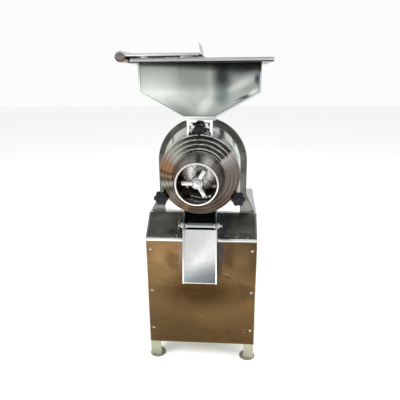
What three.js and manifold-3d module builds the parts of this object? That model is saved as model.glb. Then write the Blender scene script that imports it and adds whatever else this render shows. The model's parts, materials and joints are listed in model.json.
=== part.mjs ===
// An upright hammer mill on a sheet-steel cabinet: a belt-driven rotor with swinging hammers in a drum,
// a turned front door with an open mouth, a feed hopper with a sliding lid, and a tilting discharge chute.
// +Z is up and the front faces -Y. In the working frame the front panel's face is y = 0, the mill's middle
// plane is x = 0 and the floor is z = 0; the whole group is moved at the end to centre its outer box.
import * as THREE from "three";
import { ConvexGeometry } from "three/addons/geometries/ConvexGeometry.js";
import { mergeVertices } from "three/addons/utils/BufferGeometryUtils.js";
import Module from "manifold-3d";

const wasm = await Module();
wasm.setup();

// ---------- Driving dimensions, in millimetres and degrees ----------

const GAP = 0.3; // between pieces that touch
const OVERCUT = 1; // how far a cutter runs past the face it cuts

// Cabinet
const CABINET_WIDTH = 400;
const CABINET_DEPTH = 450;
const LEG_CLEAR = 69; // floor to the panels' lower edge
const PANEL_HEIGHT = 421;
const APRON_RISE = 74;
const APRON_RUN = 100;
const SHEET = 2;
const RETURN_FLANGE = 18; // top flange of the front panel
const ANGLE_WIDTH = 38;
const ANGLE_WALL = 5;
const LEG_BOTTOM = 8;
const FOOT_R = 30;
const FOOT_RIM = 5;
const FOOT_HEIGHT = 38;
const FOOT_TIP_R = 9;
const FOOT_SHIFT = 4; // how far a foot stands inboard of the middle of its leg
const FOOT_PLAY = 0.5; // between the cone and the angle
const LOUVRE_COUNT = 6;
const LOUVRE_WIDTH = 110;
const LOUVRE_HEIGHT = 7;
const LOUVRE_PITCH = 22;
const LOUVRE_COLUMN = 80; // middle of a column from the rear sheet's middle

// Motor and belt
const PLATFORM_HEIGHT = 46; // above the panels' lower edge
const PLATFORM_WALL = 4;
const PLATFORM_LIP = 20;
const MOTOR_R = 78;
const MOTOR_LENGTH = 215;
const MOTOR_FOOT = 12;
const MOTOR_FOOT_WIDTH = 32;
const MOTOR_FOOT_INSET = 30; // feet behind the motor's front end
const MOTOR_NOSE = 30; // length of the tapering end shield
const MOTOR_TAPER = 0.6; // its end radius over the barrel's
const MOTOR_CHAMFER = 6;
const MOTOR_PULLEY_GAP = 20; // motor to pulley
const FAN_COVER_ROUND = 8;
const FAN_COVER_LENGTH = 44;
const MOTOR_SHAFT_R = 12;
const MOTOR_PULLEY_R = 60;
const ROTOR_PULLEY_R = 45;
const PULLEY_WIDTH = 26;
const BELT_WIDTH = 13;
const BELT_HEIGHT = 8;
const BELT_CLEAR = 1.2;
const GROOVE_FLOOR_PLAY = 1; // groove beside the belt at its floor
const GROOVE_MOUTH_PLAY = 2.5; // and at its mouth
const DECK_SLOT_PLAY = 4; // belt slot beyond the pulleys' faces
const BAY_PLAY = 15; // platform's notch beside the motor pulley
const SHAFT_OVER = 4; // shaft ends beyond the pulleys

// Housing behind the drum
const ARCH_MARGIN = 29; // arch beyond the drum
const ARCH_RAISE = 16; // arch centre above the rotor axis
const ARCH_SETBACK = 5; // face of the arch plate behind the apron's crest
const SHOULDER_RISE = 64;
const RIM = 19;
const RIM_DEPTH = 12;
const ARCH_STEPS = 36; // straight pieces in its round top
const ARCH_WALL = 4;
const HOOD_LENGTH = 291;
const HOOD_INSET = 32; // hood's radius inside the arch's
const HOOD_SLOTS = 5;
const SHAFT_HOLE_PLAY = 2;

// Drum, liner and screen
const DRUM_R = 132;
const DRUM_WALL = 6;
const DRUM_LENGTH = 122;
const DRUM_UNDER = 40; // deck to drum
const FLANGE_OVER = 2;
const FLANGE = 7;
const OUTLET_FRONT = 8; // outlet's front edge behind the flange
const OUTLET_BACK = 16; // outlet's rear edge ahead of the drum's back
const INLET_LEDGE = 1; // drum's inlet inside the neck's bore
const LUG_OUT = 17; // stud circle beyond the flange
const LUG_HALF = 14;
const LUG_ANGLES = [90, 211, 329];
const STUD_R = 6;
const STUD_REACH = 16; // stud ahead of the door's face
const LINER_TOOTH = 4;
const LINER_BACK = 2.7;
const LINER_TEETH = 28;
const LINER_FIT = 0.9; // between the bore and what lines it
const LINER_MARGIN = 5;
const SCREEN_WALL = 2;
const SCREEN_HALF_ANGLE = 40;
const SCREEN_SLOTS = 9;
const SCREEN_SLOT_WIDTH = 4;
const SCREEN_SLOT_END = 15; // slot's end from the screen's edge
const SCREEN_SPREAD = 24; // half angle over the slots
const LINER_SPLIT = 1; // degrees between the liner and the screen

// Rotor
const SHAFT_R = 14;
const SEAT_R = 17; // shaft in its bearings
const NUT_SEAT_R = 10;
const DISC_EDGE = 4; // disc beyond the pins' heads
const DISC = 6;
const DISC_SPAN = 90; // over both discs
const ROTOR_INSET = 17; // front disc behind the drum's front
const HUB_R = 24;
const PIN_R = 7;
const PIN_HEAD_R = 10;
const PIN_HEAD = 4;
const PIN_COUNT = 4;
const PIN_OVER = 3; // pin behind the rear disc
const HAMMER_WIDTH = 26;
const HAMMER_TIP_PLAY = 4.4; // swung-out hammer to the liner's teeth
const HAMMER_HUB_PLAY = 2; // swung-in hammer to the hub
const HAMMER_LENGTH = 60; // along the rotor
const RUNNING = 0.6; // radial running clearance
const BEATER_R = 48;
const BEATER_HUB_R = 20;
const BEATER_ARM = 13;
const BEATER_DEPTH = 22;
const BEATER_ROOT = 14; // inner end of an arm
const BEATER_ANGLES = [180, 300, 60];
const NUT_R = 15;
const NUT_LENGTH = 11;
const BEARING_LENGTH = 35;
const BEARING_R = 34;
const BEARING_BASE = 112;
const BEARING_DROP = 45; // axis above the pedestal
const BEARING_SPAN = 150;
const BEARING_SETBACK = 29; // front bearing behind the arch plate
const PEDESTAL_WALL = 6;
const PEDESTAL_MARGIN = 4; // pedestal beside a bearing's foot
const PEDESTAL_END = 8; // pedestal past a bearing's face
const PULLEY_SETBACK = 15; // pulley behind the rear bearing

// Door
const GASKET = 2.4;
const DOOR_FLANGE = 8;
const DOOR_WALL = 5;
const DOOR_STEPS = [
  { inset: 13, rise: 15 },
  { inset: 13, rise: 10 },
  { inset: 13.5, rise: 5 },
  { inset: 9.5, rise: 8 },
];
const NOSE_LENGTH = 87;
const MOUTH_R = 67;
const MOUTH_WALL = 6;
const NUT_INSET = 2; // nut behind the mouth's edge
const DOOR_SEAT = 4; // door's inner edge over the drum's bore
const EAR_ROOT = 6; // ear's root under the flange's edge
const STUD_CLEAR = 1.5;
const KNOB_R = 25;
const KNOB_LOBE = 2;
const TOP_KNOB_R = 17;
const KNOB_LENGTH = 22;
const KNOB_BEVEL = 3;

// Discharge
const THROAT_WIDTH = 113.4; // over its side plates
const THROAT_WALL = 3;
const THROAT_DEPTH = 104; // floor from lip to back
const THROAT_FALL = 38;
const LIP_DROP = 16;
const LIP_RISE = 5; // throat's floor at the lip above the pivot
const THROAT_OVERLAP = 24; // side plates above the drum's lowest point
const THROAT_FOOT = 16; // corner of the side plates below the drum
const THROAT_SET = 0.5; // side plates behind the drum's front
const PIVOT_BELOW_DRUM = 48;
const PIVOT_AHEAD = 2.7; // pivot ahead of the drum's front
const PIVOT_R = 5;
const PIVOT_EAR = 13;
const PIVOT_NUT_R = 9;
const PIVOT_NUT = 7;
const PIVOT_TAIL = 2; // bolt inside its inner nut
const PIVOT_OUT = 16; // bolt beyond the chute
const CHUTE_WALL = 2;
const CHUTE_HEM = 4; // width of the folded front edges of its flanges
const CHUTE_HEM_DEPTH = 2.5;
const CHUTE_LENGTH = 203;
const CHUTE_TOP = 16; // web below the pivot
const CHUTE_BACK = 14; // web's back behind the pivot
const CHUTE_FLANGE_TOP = 32;
const CHUTE_FLANGE_END = 8;
const CHUTE_LEAN = 17;

// Feed
const NECK_WIDTH = 85;
const NECK_DEPTH = 87;
const NECK_WALL = 3;
const NECK_HEIGHT = 52;
const NECK_CORNER = 9;
const NECK_SETBACK = 0.8; // behind the drum's flange
const FEED_FLANGE = 6;
const FEED_FLANGE_OUT = 9.5;
const HOPPER_FOOT_OUT = 7; // hopper's foot beside the neck
const HOPPER_SETBACK = 1.5; // hopper's front behind the neck's
const HOPPER_WIDTH = 388;
const HOPPER_DEPTH = 293;
const HOPPER_WALL = 2;
const HOPPER_FALL = 78; // height of the sloping part
const HOPPER_BAND = 92;
const TRAY_OUT_LEFT = 29;
const TRAY_OUT_RIGHT = 37;
const TRAY_OUT_Y = 32.5;
const TRAY_LIP = 13;
const TRAY_LIP_WIDTH = 7;
const TRAY_CORNER = 26;
const TRAY_ROUND = 2.5;
const RAIL_INSET = 3; // rail's ends inside the tray's
const RAIL_WIDTH = 20;
const RAIL_HEIGHT = 12;
const RAIL_OFFSETS = [-165, -44]; // middles of the rails
const LID_REACH = 3; // lid past the middle of the hopper
const LID_FOLD = 8; // height of its folded edges
const TAB_HEIGHT = 39;
const TAB_LEAN = 14; // degrees towards the grip
const TAB_WIDTH = 120;
const TAB_CORNER = 14;
const GRIP_R = 17;
const GRIP_WALL = 2;
const GRIP_RISE = 8; // grip above the lid
const GRIP_ROUND = 0.3; // rounding of its front end over its radius
const LID_PLAY = 0.5; // folds clear of the tray

// Cable inlet
const GLAND_R = 9;
const GLAND_NUT_R = 15;
const GLAND_OUT = 20;
const GLAND_BORE = 5;
const GLAND_IN = 12; // thread inside the sheet
const GLAND_RISE = 20; // gland above the panels' lower edge
const GLAND_SIDE = 120; // gland from the middle
const GLAND_HEX = 9; // length of its nut

// ---------- Places that follow from them ----------

const HALF_WIDTH = CABINET_WIDTH / 2;
const FRONT_TOP = LEG_CLEAR + PANEL_HEIGHT;
const DECK_TOP = FRONT_TOP + APRON_RISE;
const APRON_SLOPE = Math.atan2(APRON_RISE, APRON_RUN);
const APRON_FACE = FRONT_TOP + GAP + SHEET / Math.cos(APRON_SLOPE);
const AXIS_Z = DECK_TOP + DRUM_UNDER + DRUM_R;
const ARCH_R = DRUM_R + ARCH_MARGIN;
const ARCH_Z = AXIS_Z + ARCH_RAISE;
const ARCH_FACE = APRON_RUN + ARCH_SETBACK;
const ARCH_BACK = ARCH_FACE + RIM_DEPTH + ARCH_WALL;
const HOOD_FRONT = ARCH_FACE + ARCH_WALL + GAP;
const HOOD_R = ARCH_R - HOOD_INSET;
const HOOD_BACK = HOOD_FRONT + HOOD_LENGTH;
const DRUM_FRONT = ARCH_FACE - GAP - DRUM_LENGTH;
const DRUM_BACK = ARCH_FACE - GAP;
const DRUM_BORE = DRUM_R - DRUM_WALL;
const TIP_CIRCLE = DRUM_BORE - LINER_FIT - LINER_BACK - LINER_TOOTH - HAMMER_TIP_PLAY;
const INNER_CIRCLE = HUB_R + HAMMER_HUB_PLAY;
const PIN_CIRCLE = (TIP_CIRCLE + INNER_CIRCLE) / 2;
const HAMMER_REACH = (TIP_CIRCLE - INNER_CIRCLE) / 2; // pin centre to tip
const DISC_R = PIN_CIRCLE + PIN_HEAD_R + DISC_EDGE;
const FLANGE_R = DRUM_R + FLANGE_OVER;
const FLANGE_BACK = DRUM_FRONT + FLANGE;
const LUG_R = FLANGE_R + LUG_OUT;
const DOOR_BACK = DRUM_FRONT - 2 * GAP - GASKET;
const DOOR_FACE = DOOR_BACK - DOOR_FLANGE;
const NOSE_BASE = DOOR_FACE - DOOR_STEPS.reduce((sum, step) => sum + step.rise, 0);
const NOSE_R = FLANGE_R - DOOR_STEPS.reduce((sum, step) => sum + step.inset, 0);
const MOUTH_Y = NOSE_BASE - NOSE_LENGTH;
const ROTOR_FRONT = DRUM_FRONT + ROTOR_INSET;
const ROTOR_BACK = ROTOR_FRONT + DISC_SPAN;
const NUT_FRONT = MOUTH_Y + NUT_INSET;
const BEATER_FRONT = NUT_FRONT + NUT_LENGTH + GAP;
const BEATER_BACK = BEATER_FRONT + BEATER_DEPTH;
const BEARING_FRONT = ARCH_BACK + BEARING_SETBACK;
const BEARING_REAR = BEARING_FRONT + BEARING_SPAN;
const PULLEY_FRONT = BEARING_REAR + BEARING_LENGTH + PULLEY_SETBACK;
const PULLEY_BACK = PULLEY_FRONT + PULLEY_WIDTH;
const BELT_MIDDLE = (PULLEY_FRONT + PULLEY_BACK) / 2;
const PLATFORM_TOP = LEG_CLEAR + PLATFORM_HEIGHT;
const MOTOR_Z = PLATFORM_TOP + GAP + MOTOR_FOOT + MOTOR_R;
const MOTOR_BACK = PULLEY_FRONT - MOTOR_PULLEY_GAP;
const MOTOR_FRONT = MOTOR_BACK - MOTOR_LENGTH;
const PIVOT_Y = DRUM_FRONT - PIVOT_AHEAD;
const PIVOT_Z = AXIS_Z - DRUM_R - PIVOT_BELOW_DRUM;
const LIP_Y = PIVOT_Y + PIVOT_NUT_R + 2 * GAP;
const LIP_Z = PIVOT_Z + LIP_RISE;
const CHUTE_WIDTH = THROAT_WIDTH + 2 * GAP + 2 * CHUTE_WALL;
const NECK_FRONT = FLANGE_BACK + NECK_SETBACK;
const NECK_BACK = NECK_FRONT + NECK_DEPTH;
const NECK_TOP = AXIS_Z + DRUM_R + NECK_HEIGHT;
const HOPPER_BOTTOM = NECK_TOP + GAP;
const HOPPER_KNEE = HOPPER_BOTTOM + HOPPER_FALL;
const HOPPER_TOP = HOPPER_KNEE + HOPPER_BAND;
const HOPPER_FRONT = NECK_FRONT + HOPPER_SETBACK;
const HOPPER_BACK = HOPPER_FRONT + HOPPER_DEPTH;
const TRAY_LEFT = -HOPPER_WIDTH / 2 - TRAY_OUT_LEFT;
const TRAY_RIGHT = HOPPER_WIDTH / 2 + TRAY_OUT_RIGHT;
const TRAY_FRONT = HOPPER_FRONT - TRAY_OUT_Y;
const TRAY_BACK = HOPPER_BACK + TRAY_OUT_Y;
const TRAY_BOTTOM = HOPPER_TOP + GAP;
const TRAY_TOP = TRAY_BOTTOM + TRAY_LIP;
const LID_UNDER = TRAY_TOP + RAIL_HEIGHT + 2 * GAP;
const LID_TOP = LID_UNDER + SHEET;
const LID_FRONT = TRAY_FRONT - SHEET - LID_PLAY;
const LID_BACK = TRAY_BACK + SHEET + LID_PLAY;
const GRIP_X = TRAY_LEFT - GAP - GRIP_R;
const GRIP_Z = LID_TOP + GRIP_RISE - GRIP_R;
const GLAND_BACK = CABINET_DEPTH + GLAND_OUT;
const GLAND_Z = LEG_CLEAR + GLAND_RISE;
const INLET_X = NECK_WIDTH / 2 - NECK_WALL - INLET_LEDGE;
const INLET_FRONT = NECK_FRONT + NECK_WALL + INLET_LEDGE;
const INLET_BACK = NECK_BACK - NECK_WALL - INLET_LEDGE;
const FAR = 500; // well outside the mill, for cutters

// ---------- Building blocks ----------

const radians = THREE.MathUtils.degToRad;

// A closed geometry as a solid, with its shared vertices merged.
function solid(geometry) {
  const bare = geometry.index ? geometry.toNonIndexed() : geometry.clone();
  bare.deleteAttribute("normal");
  bare.deleteAttribute("uv");
  const merged = mergeVertices(bare, 1e-4);
  return new wasm.Manifold(
    new wasm.Mesh({
      numProp: 3,
      vertProperties: merged.attributes.position.array,
      triVerts: new Uint32Array(merged.index.array),
    }),
  );
}

function box(x0, x1, y0, y1, z0, z1) {
  const geometry = new THREE.BoxGeometry(x1 - x0, y1 - y0, z1 - z0);
  return solid(geometry.translate((x0 + x1) / 2, (y0 + y1) / 2, (z0 + z1) / 2));
}

// A closed outline from a list of [u, v] corners.
function outline(points) {
  return new THREE.Shape(points.map(([u, v]) => new THREE.Vector2(u, v)));
}

// An outline drawn in x and z, carried along y.
function alongY(shape, y0, y1, curveSegments = 12, bevel = null) {
  const inset = bevel ? bevel.bevelThickness : 0;
  const settings = { depth: y1 - y0 - 2 * inset, bevelEnabled: false, curveSegments, ...bevel };
  const geometry = new THREE.ExtrudeGeometry(shape, settings);
  return geometry.rotateX(Math.PI / 2).translate(0, y1 - inset, 0);
}

// An outline drawn in y and z, carried along x.
function alongX(shape, x0, x1, curveSegments = 8) {
  const geometry = new THREE.ExtrudeGeometry(shape, { depth: x1 - x0, bevelEnabled: false, curveSegments });
  const turn = new THREE.Matrix4().makeBasis(
    new THREE.Vector3(0, 1, 0),
    new THREE.Vector3(0, 0, 1),
    new THREE.Vector3(1, 0, 0),
  );
  return geometry.applyMatrix4(turn).translate(x0, 0, 0);
}

// An outline drawn in x and y, carried up z.
function alongZ(shape, z0, z1, curveSegments = 6, bevel = null) {
  const inset = bevel ? bevel.bevelThickness : 0;
  const settings = { depth: z1 - z0 - 2 * inset, bevelEnabled: false, curveSegments, ...bevel };
  return new THREE.ExtrudeGeometry(shape, settings).translate(0, 0, z0 + inset);
}

// A profile of [radius, y] points turned about the y axis; one that stays off the axis closes on itself.
function turned(profile, segments = 32) {
  const points = profile.map(([r, y]) => new THREE.Vector2(r, y));
  if (points[0].x > 0) points.push(points[0].clone());
  if (THREE.ShapeUtils.area(points) < 0) points.reverse();
  return new THREE.LatheGeometry(points, segments);
}

// A plain cylinder along y.
function rod(r, y0, y1, segments = 24) {
  return new THREE.CylinderGeometry(r, r, y1 - y0, segments).translate(0, (y0 + y1) / 2, 0);
}

// A plain tube along y.
function tube(rOut, rIn, y0, y1, segments = 32) {
  return turned([[rIn, y0], [rOut, y0], [rOut, y1], [rIn, y1]], segments);
}

function circle(u, v, r) {
  return new THREE.Path().absarc(u, v, r, 0, 2 * Math.PI, true);
}

function roundedRectangle(x0, x1, y0, y1, r) {
  const shape = new THREE.Shape();
  shape.moveTo(x0 + r, y0);
  shape.absarc(x1 - r, y0 + r, r, -Math.PI / 2, 0, false);
  shape.absarc(x1 - r, y1 - r, r, 0, Math.PI / 2, false);
  shape.absarc(x0 + r, y1 - r, r, Math.PI / 2, Math.PI, false);
  shape.absarc(x0 + r, y0 + r, r, Math.PI, 1.5 * Math.PI, false);
  return shape;
}

// A tongue that points up from radius `from` and ends round about a hole's centre at radius `to`.
function tongue(from, to, half) {
  const shape = new THREE.Shape();
  shape.moveTo(half, from);
  shape.absarc(0, to, half, 0, Math.PI, false);
  shape.lineTo(-half, from);
  return shape;
}

// Moves a geometry made about the y axis to the rotor's axis.
function atAxis(geometry) {
  return solid(geometry.translate(0, 0, AXIS_Z));
}

// Turns a geometry that points up to an angle counted from +x, then moves it to the rotor's axis.
function atAngle(geometry, angle) {
  return atAxis(geometry.rotateY(radians(90 - angle)));
}

function union(pieces) {
  return pieces.reduce((sum, piece) => sum.add(piece));
}

function cut(body, cutters) {
  return cutters.reduce((rest, cutter) => rest.subtract(cutter), body);
}

// ---------- Finishes ----------

const MIRROR = { color: 0xcfcfca, roughness: 0.1, metalness: 1 };
const WARM_MIRROR = { color: 0xb08d62, roughness: 0.14, metalness: 1 };
const SATIN = { color: 0xb4b8b8, roughness: 0.3, metalness: 1 };
const TURNED = { color: 0xa8a29a, roughness: 0.22, metalness: 1 };
const DARK_STEEL = { color: 0x4a4a48, roughness: 0.35, metalness: 1 };
const CAST = { color: 0x55585a, roughness: 0.6, metalness: 0.9 };
const LEG_PAINT = { color: 0xb4b49b, roughness: 0.55, metalness: 0 };
const FOOT_PAINT = { color: 0x82876e, roughness: 0.6, metalness: 0 };
const MOTOR_PAINT = { color: 0x5a6670, roughness: 0.5, metalness: 0 };
const BLACK_PLASTIC = { color: 0x1b1c1d, roughness: 0.35, metalness: 0 };
const RUBBER = { color: 0x161616, roughness: 0.8, metalness: 0 };

// Adds one solid to a group as a named mesh with a material of its own.
function add(group, name, body, finish) {
  const made = body.getMesh();
  const geometry = new THREE.BufferGeometry();
  geometry.setAttribute("position", new THREE.BufferAttribute(new Float32Array(made.vertProperties), 3));
  geometry.setIndex(new THREE.BufferAttribute(new Uint32Array(made.triVerts), 1));
  geometry.computeVertexNormals();
  const mesh = new THREE.Mesh(geometry, new THREE.MeshStandardMaterial(finish));
  mesh.name = name;
  group.add(mesh);
}

// ---------- Cabinet ----------

const SIDES = [
  { word: "left", sign: -1 },
  { word: "right", sign: 1 },
];

// An angle-iron leg in one corner; its two flanges lie against the sheets.
function leg(signX, rear, top) {
  const cornerX = HALF_WIDTH - SHEET - GAP;
  const cornerY = rear ? CABINET_DEPTH - SHEET - GAP : SHEET + GAP;
  const inward = rear ? -1 : 1;
  const section = outline([
    [0, 0],
    [ANGLE_WIDTH, 0],
    [ANGLE_WIDTH, ANGLE_WALL],
    [ANGLE_WALL, ANGLE_WALL],
    [ANGLE_WALL, ANGLE_WIDTH],
    [0, ANGLE_WIDTH],
  ]);
  const geometry = alongZ(section, LEG_BOTTOM, top);
  const body = solid(geometry);
  const mirrored = signX * inward > 0 ? body.mirror([1, 0, 0]) : body;
  const quarter = inward < 0 ? mirrored.rotate([0, 0, 180]) : mirrored;
  return quarter.translate([signX * cornerX, cornerY, 0]);
}

// A bell-shaped foot: a wide rim under the leg and a cone that rises inside the angle.
function foot(signX, rear) {
  const inboard = ANGLE_WIDTH / 2 + FOOT_SHIFT;
  const coneR = inboard - ANGLE_WALL - FOOT_PLAY;
  const profile = [
    [0, 0],
    [FOOT_R, 0],
    [FOOT_R, FOOT_RIM],
    [coneR, LEG_BOTTOM - FOOT_PLAY],
    [(coneR + FOOT_TIP_R) / 2 + FOOT_PLAY, FOOT_HEIGHT / 2],
    [FOOT_TIP_R, FOOT_HEIGHT],
    [0, FOOT_HEIGHT],
  ];
  const x = HALF_WIDTH - SHEET - GAP - inboard;
  const fromEdge = SHEET + GAP + inboard;
  const y = rear ? CABINET_DEPTH - fromEdge : fromEdge;
  return solid(turned(profile, 16).rotateX(Math.PI / 2).translate(signX * x, y, 0));
}

function frontPanel() {
  const inner = HALF_WIDTH - SHEET - 2 * GAP;
  const sheet = box(-HALF_WIDTH, HALF_WIDTH, 0, SHEET, LEG_CLEAR, FRONT_TOP);
  const flange = box(-inner, inner, SHEET / 2, RETURN_FLANGE, FRONT_TOP - SHEET, FRONT_TOP);
  return sheet.add(flange);
}

function sidePanel(sign) {
  const front = SHEET + GAP;
  const back = CABINET_DEPTH - SHEET - GAP;
  const top = DECK_TOP - SHEET - GAP;
  const shape = outline([
    [front, LEG_CLEAR],
    [back, LEG_CLEAR],
    [back, top],
    [APRON_RUN + SHEET, top],
    [front, FRONT_TOP],
  ]);
  const x0 = sign > 0 ? HALF_WIDTH - SHEET : -HALF_WIDTH;
  return solid(alongX(shape, x0, x0 + SHEET));
}

// Rear sheet with two columns of air slots and the hole for the cable gland.
function rearPanel() {
  const y0 = CABINET_DEPTH - SHEET;
  const top = DECK_TOP - SHEET - GAP;
  const sheet = box(-HALF_WIDTH, HALF_WIDTH, y0, CABINET_DEPTH, LEG_CLEAR, top);
  const slots = [];
  for (const { sign } of SIDES) {
    for (let i = 0; i < LOUVRE_COUNT; i += 1) {
      const x = sign * LOUVRE_COLUMN;
      const z = MOTOR_Z + MOTOR_R + i * LOUVRE_PITCH;
      const half = LOUVRE_WIDTH / 2;
      slots.push(box(x - half, x + half, y0 - OVERCUT, CABINET_DEPTH + OVERCUT, z, z + LOUVRE_HEIGHT));
    }
  }
  const hole = rod(GLAND_R + GAP, y0 - OVERCUT, CABINET_DEPTH + OVERCUT, 16);
  return cut(sheet, [...slots, solid(hole.translate(GLAND_SIDE, 0, GLAND_Z))]);
}

// The sloping apron and the flat deck, one folded sheet, with a slot for the belt.
function deck() {
  const fold = SHEET * Math.tan(APRON_SLOPE / 2);
  const shape = outline([
    [0, FRONT_TOP + GAP],
    [APRON_RUN + fold, DECK_TOP - SHEET],
    [CABINET_DEPTH, DECK_TOP - SHEET],
    [CABINET_DEPTH, DECK_TOP],
    [APRON_RUN, DECK_TOP],
    [0, APRON_FACE],
  ]);
  const half = Math.max(MOTOR_PULLEY_R, ROTOR_PULLEY_R) + 2 * BELT_HEIGHT;
  const [y0, y1] = [PULLEY_FRONT - DECK_SLOT_PLAY, PULLEY_BACK + DECK_SLOT_PLAY];
  const slot = box(-half, half, y0, y1, DECK_TOP - SHEET - OVERCUT, DECK_TOP + OVERCUT);
  return solid(alongX(shape, -HALF_WIDTH, HALF_WIDTH)).subtract(slot);
}

// A folded tray across the legs that carries the motor.
function motorPlatform() {
  const half = HALF_WIDTH - SHEET - ANGLE_WALL - 2 * GAP;
  const front = SHEET + ANGLE_WALL + 2 * GAP;
  const back = CABINET_DEPTH - front;
  const z0 = PLATFORM_TOP - PLATFORM_WALL;
  const plate = box(-half, half, front, back, z0, PLATFORM_TOP);
  const bay = MOTOR_PULLEY_R + BAY_PLAY;
  const bayFront = PULLEY_FRONT - BAY_PLAY;
  const notch = box(-bay, bay, bayFront, back + OVERCUT, z0 - OVERCUT, PLATFORM_TOP + OVERCUT);
  const lips = SIDES.map(({ sign }) => {
    const x0 = sign > 0 ? half - PLATFORM_WALL : -half;
    return box(x0, x0 + PLATFORM_WALL, front, back, PLATFORM_TOP - PLATFORM_LIP, PLATFORM_TOP - OVERCUT);
  });
  return plate.subtract(notch).add(union(lips));
}

// ---------- Housing ----------

// The arch's outline in x and z, drawn inside the outer one by `inset`, down to the level `bottom`.
function archShape(inset, bottom) {
  const r = ARCH_R - inset;
  const spread = HALF_WIDTH - ARCH_R;
  const slant = (inset * Math.hypot(spread, SHOULDER_RISE)) / SHOULDER_RISE;
  const kneeZ = DECK_TOP + SHOULDER_RISE;
  const shape = new THREE.Shape();
  shape.moveTo(HALF_WIDTH - slant, DECK_TOP);
  shape.lineTo(r, kneeZ);
  shape.absarc(0, ARCH_Z, r, 0, Math.PI, false);
  shape.lineTo(-r, kneeZ);
  shape.lineTo(-HALF_WIDTH + slant, DECK_TOP);
  if (bottom < DECK_TOP) {
    shape.lineTo(-HALF_WIDTH + slant, bottom);
    shape.lineTo(HALF_WIDTH - slant, bottom);
  }
  return shape;
}

// The front plate of the housing: a flat face with a bevelled rim, open at the back, and the shaft's hole.
function archPlate() {
  const bevel = { bevelEnabled: true, bevelThickness: RIM_DEPTH, bevelSize: RIM, bevelSegments: 3 };
  const open = ARCH_BACK + RIM_DEPTH;
  const full = solid(alongY(archShape(RIM, DECK_TOP), ARCH_FACE, open, ARCH_STEPS, bevel));
  const inside = archShape(RIM, DECK_TOP - RIM);
  const hollow = solid(alongY(inside, ARCH_FACE + ARCH_WALL, open + OVERCUT, ARCH_STEPS));
  const behind = box(-FAR, FAR, ARCH_BACK, FAR, 0, 2 * ARCH_Z);
  const below = box(-FAR, FAR, 0, FAR, 0, DECK_TOP + GAP);
  const sides = [box(-FAR, -HALF_WIDTH, 0, FAR, 0, ARCH_Z), box(HALF_WIDTH, FAR, 0, FAR, 0, ARCH_Z)];
  const hole = atAxis(rod(SEAT_R + SHAFT_HOLE_PLAY, ARCH_FACE - OVERCUT, ARCH_BACK + OVERCUT));
  return cut(full, [hollow, behind, below, ...sides, hole]);
}

// The hood's outline, a half round on straight sides down to the level `bottom`.
function hoodShape(r, bottom) {
  const shape = new THREE.Shape();
  shape.moveTo(r, bottom);
  shape.lineTo(r, ARCH_Z);
  shape.absarc(0, ARCH_Z, r, 0, Math.PI, false);
  shape.lineTo(-r, bottom);
  return shape;
}

// The sheet hood over the bearings and belt: its front edge stands in the arch plate's hollow, and its
// rear wall is slotted.
function hood() {
  const outer = solid(alongY(hoodShape(HOOD_R, DECK_TOP + GAP), HOOD_FRONT, HOOD_BACK, ARCH_STEPS));
  const inside = hoodShape(HOOD_R - SHEET, DECK_TOP);
  const inner = solid(alongY(inside, HOOD_FRONT - OVERCUT, HOOD_BACK - SHEET, ARCH_STEPS));
  const half = LOUVRE_WIDTH / 2;
  const slots = [];
  for (let i = 0; i < HOOD_SLOTS; i += 1) {
    const z = ARCH_Z + (i - (HOOD_SLOTS - 1) / 2) * LOUVRE_PITCH;
    slots.push(box(-half, half, HOOD_BACK - SHEET - OVERCUT, FAR, z, z + LOUVRE_HEIGHT));
  }
  return cut(outer, [inner, ...slots]);
}

function pedestal() {
  const half = BEARING_BASE / 2 + PEDESTAL_MARGIN;
  const top = AXIS_Z - BEARING_DROP - GAP;
  const y0 = BEARING_FRONT - PEDESTAL_END;
  const y1 = BEARING_REAR + BEARING_LENGTH + PEDESTAL_END;
  const block = box(-half, half, y0, y1, DECK_TOP + GAP, top);
  const inside = half - PEDESTAL_WALL;
  const hollow = box(-inside, inside, y0 - OVERCUT, y1 + OVERCUT, DECK_TOP, top - PEDESTAL_WALL);
  return block.subtract(hollow);
}

// A pillow block: a foot, a round back and the shaft's bore.
function bearing(y0) {
  const shape = new THREE.Shape();
  const half = BEARING_BASE / 2;
  shape.moveTo(-half, -BEARING_DROP);
  shape.lineTo(half, -BEARING_DROP);
  shape.lineTo(half, -BEARING_R);
  shape.lineTo(BEARING_R, -BEARING_R / 2);
  shape.absarc(0, 0, BEARING_R, 0, Math.PI, false);
  shape.lineTo(-BEARING_R, -BEARING_R / 2);
  shape.lineTo(-half, -BEARING_R);
  shape.holes.push(circle(0, 0, SEAT_R + GAP));
  return atAxis(alongY(shape, y0, y0 + BEARING_LENGTH, 12));
}

// ---------- Drum ----------

// The round chamber with its front flange and stud lugs, open at the top to the neck and below to the throat.
function drum() {
  const shell = atAxis(tube(DRUM_R, DRUM_BORE, DRUM_FRONT, DRUM_BACK, 36));
  const flange = atAxis(tube(FLANGE_R, DRUM_BORE, DRUM_FRONT, FLANGE_BACK, 36));
  const lugs = LUG_ANGLES.map((angle) => {
    const shape = tongue(DRUM_BORE + DRUM_WALL / 2, LUG_R, LUG_HALF);
    return atAngle(alongY(shape, DRUM_FRONT, FLANGE_BACK, 6), angle);
  });
  const holes = LUG_ANGLES.map((angle) => {
    const hole = rod(STUD_R + GAP, DRUM_FRONT - OVERCUT, FLANGE_BACK + OVERCUT, 16);
    return atAngle(hole.translate(0, 0, LUG_R), angle);
  });
  const inlet = box(-INLET_X, INLET_X, INLET_FRONT, INLET_BACK, AXIS_Z, AXIS_Z + DRUM_R + OVERCUT);
  const outletX = THROAT_WIDTH / 2 - THROAT_WALL;
  const [y0, y1] = [FLANGE_BACK + OUTLET_FRONT, DRUM_BACK - OUTLET_BACK];
  const outlet = box(-outletX, outletX, y0, y1, AXIS_Z - DRUM_R - OVERCUT, AXIS_Z);
  return cut(union([shell, flange, ...lugs]), [inlet, outlet, ...holes]);
}

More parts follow.
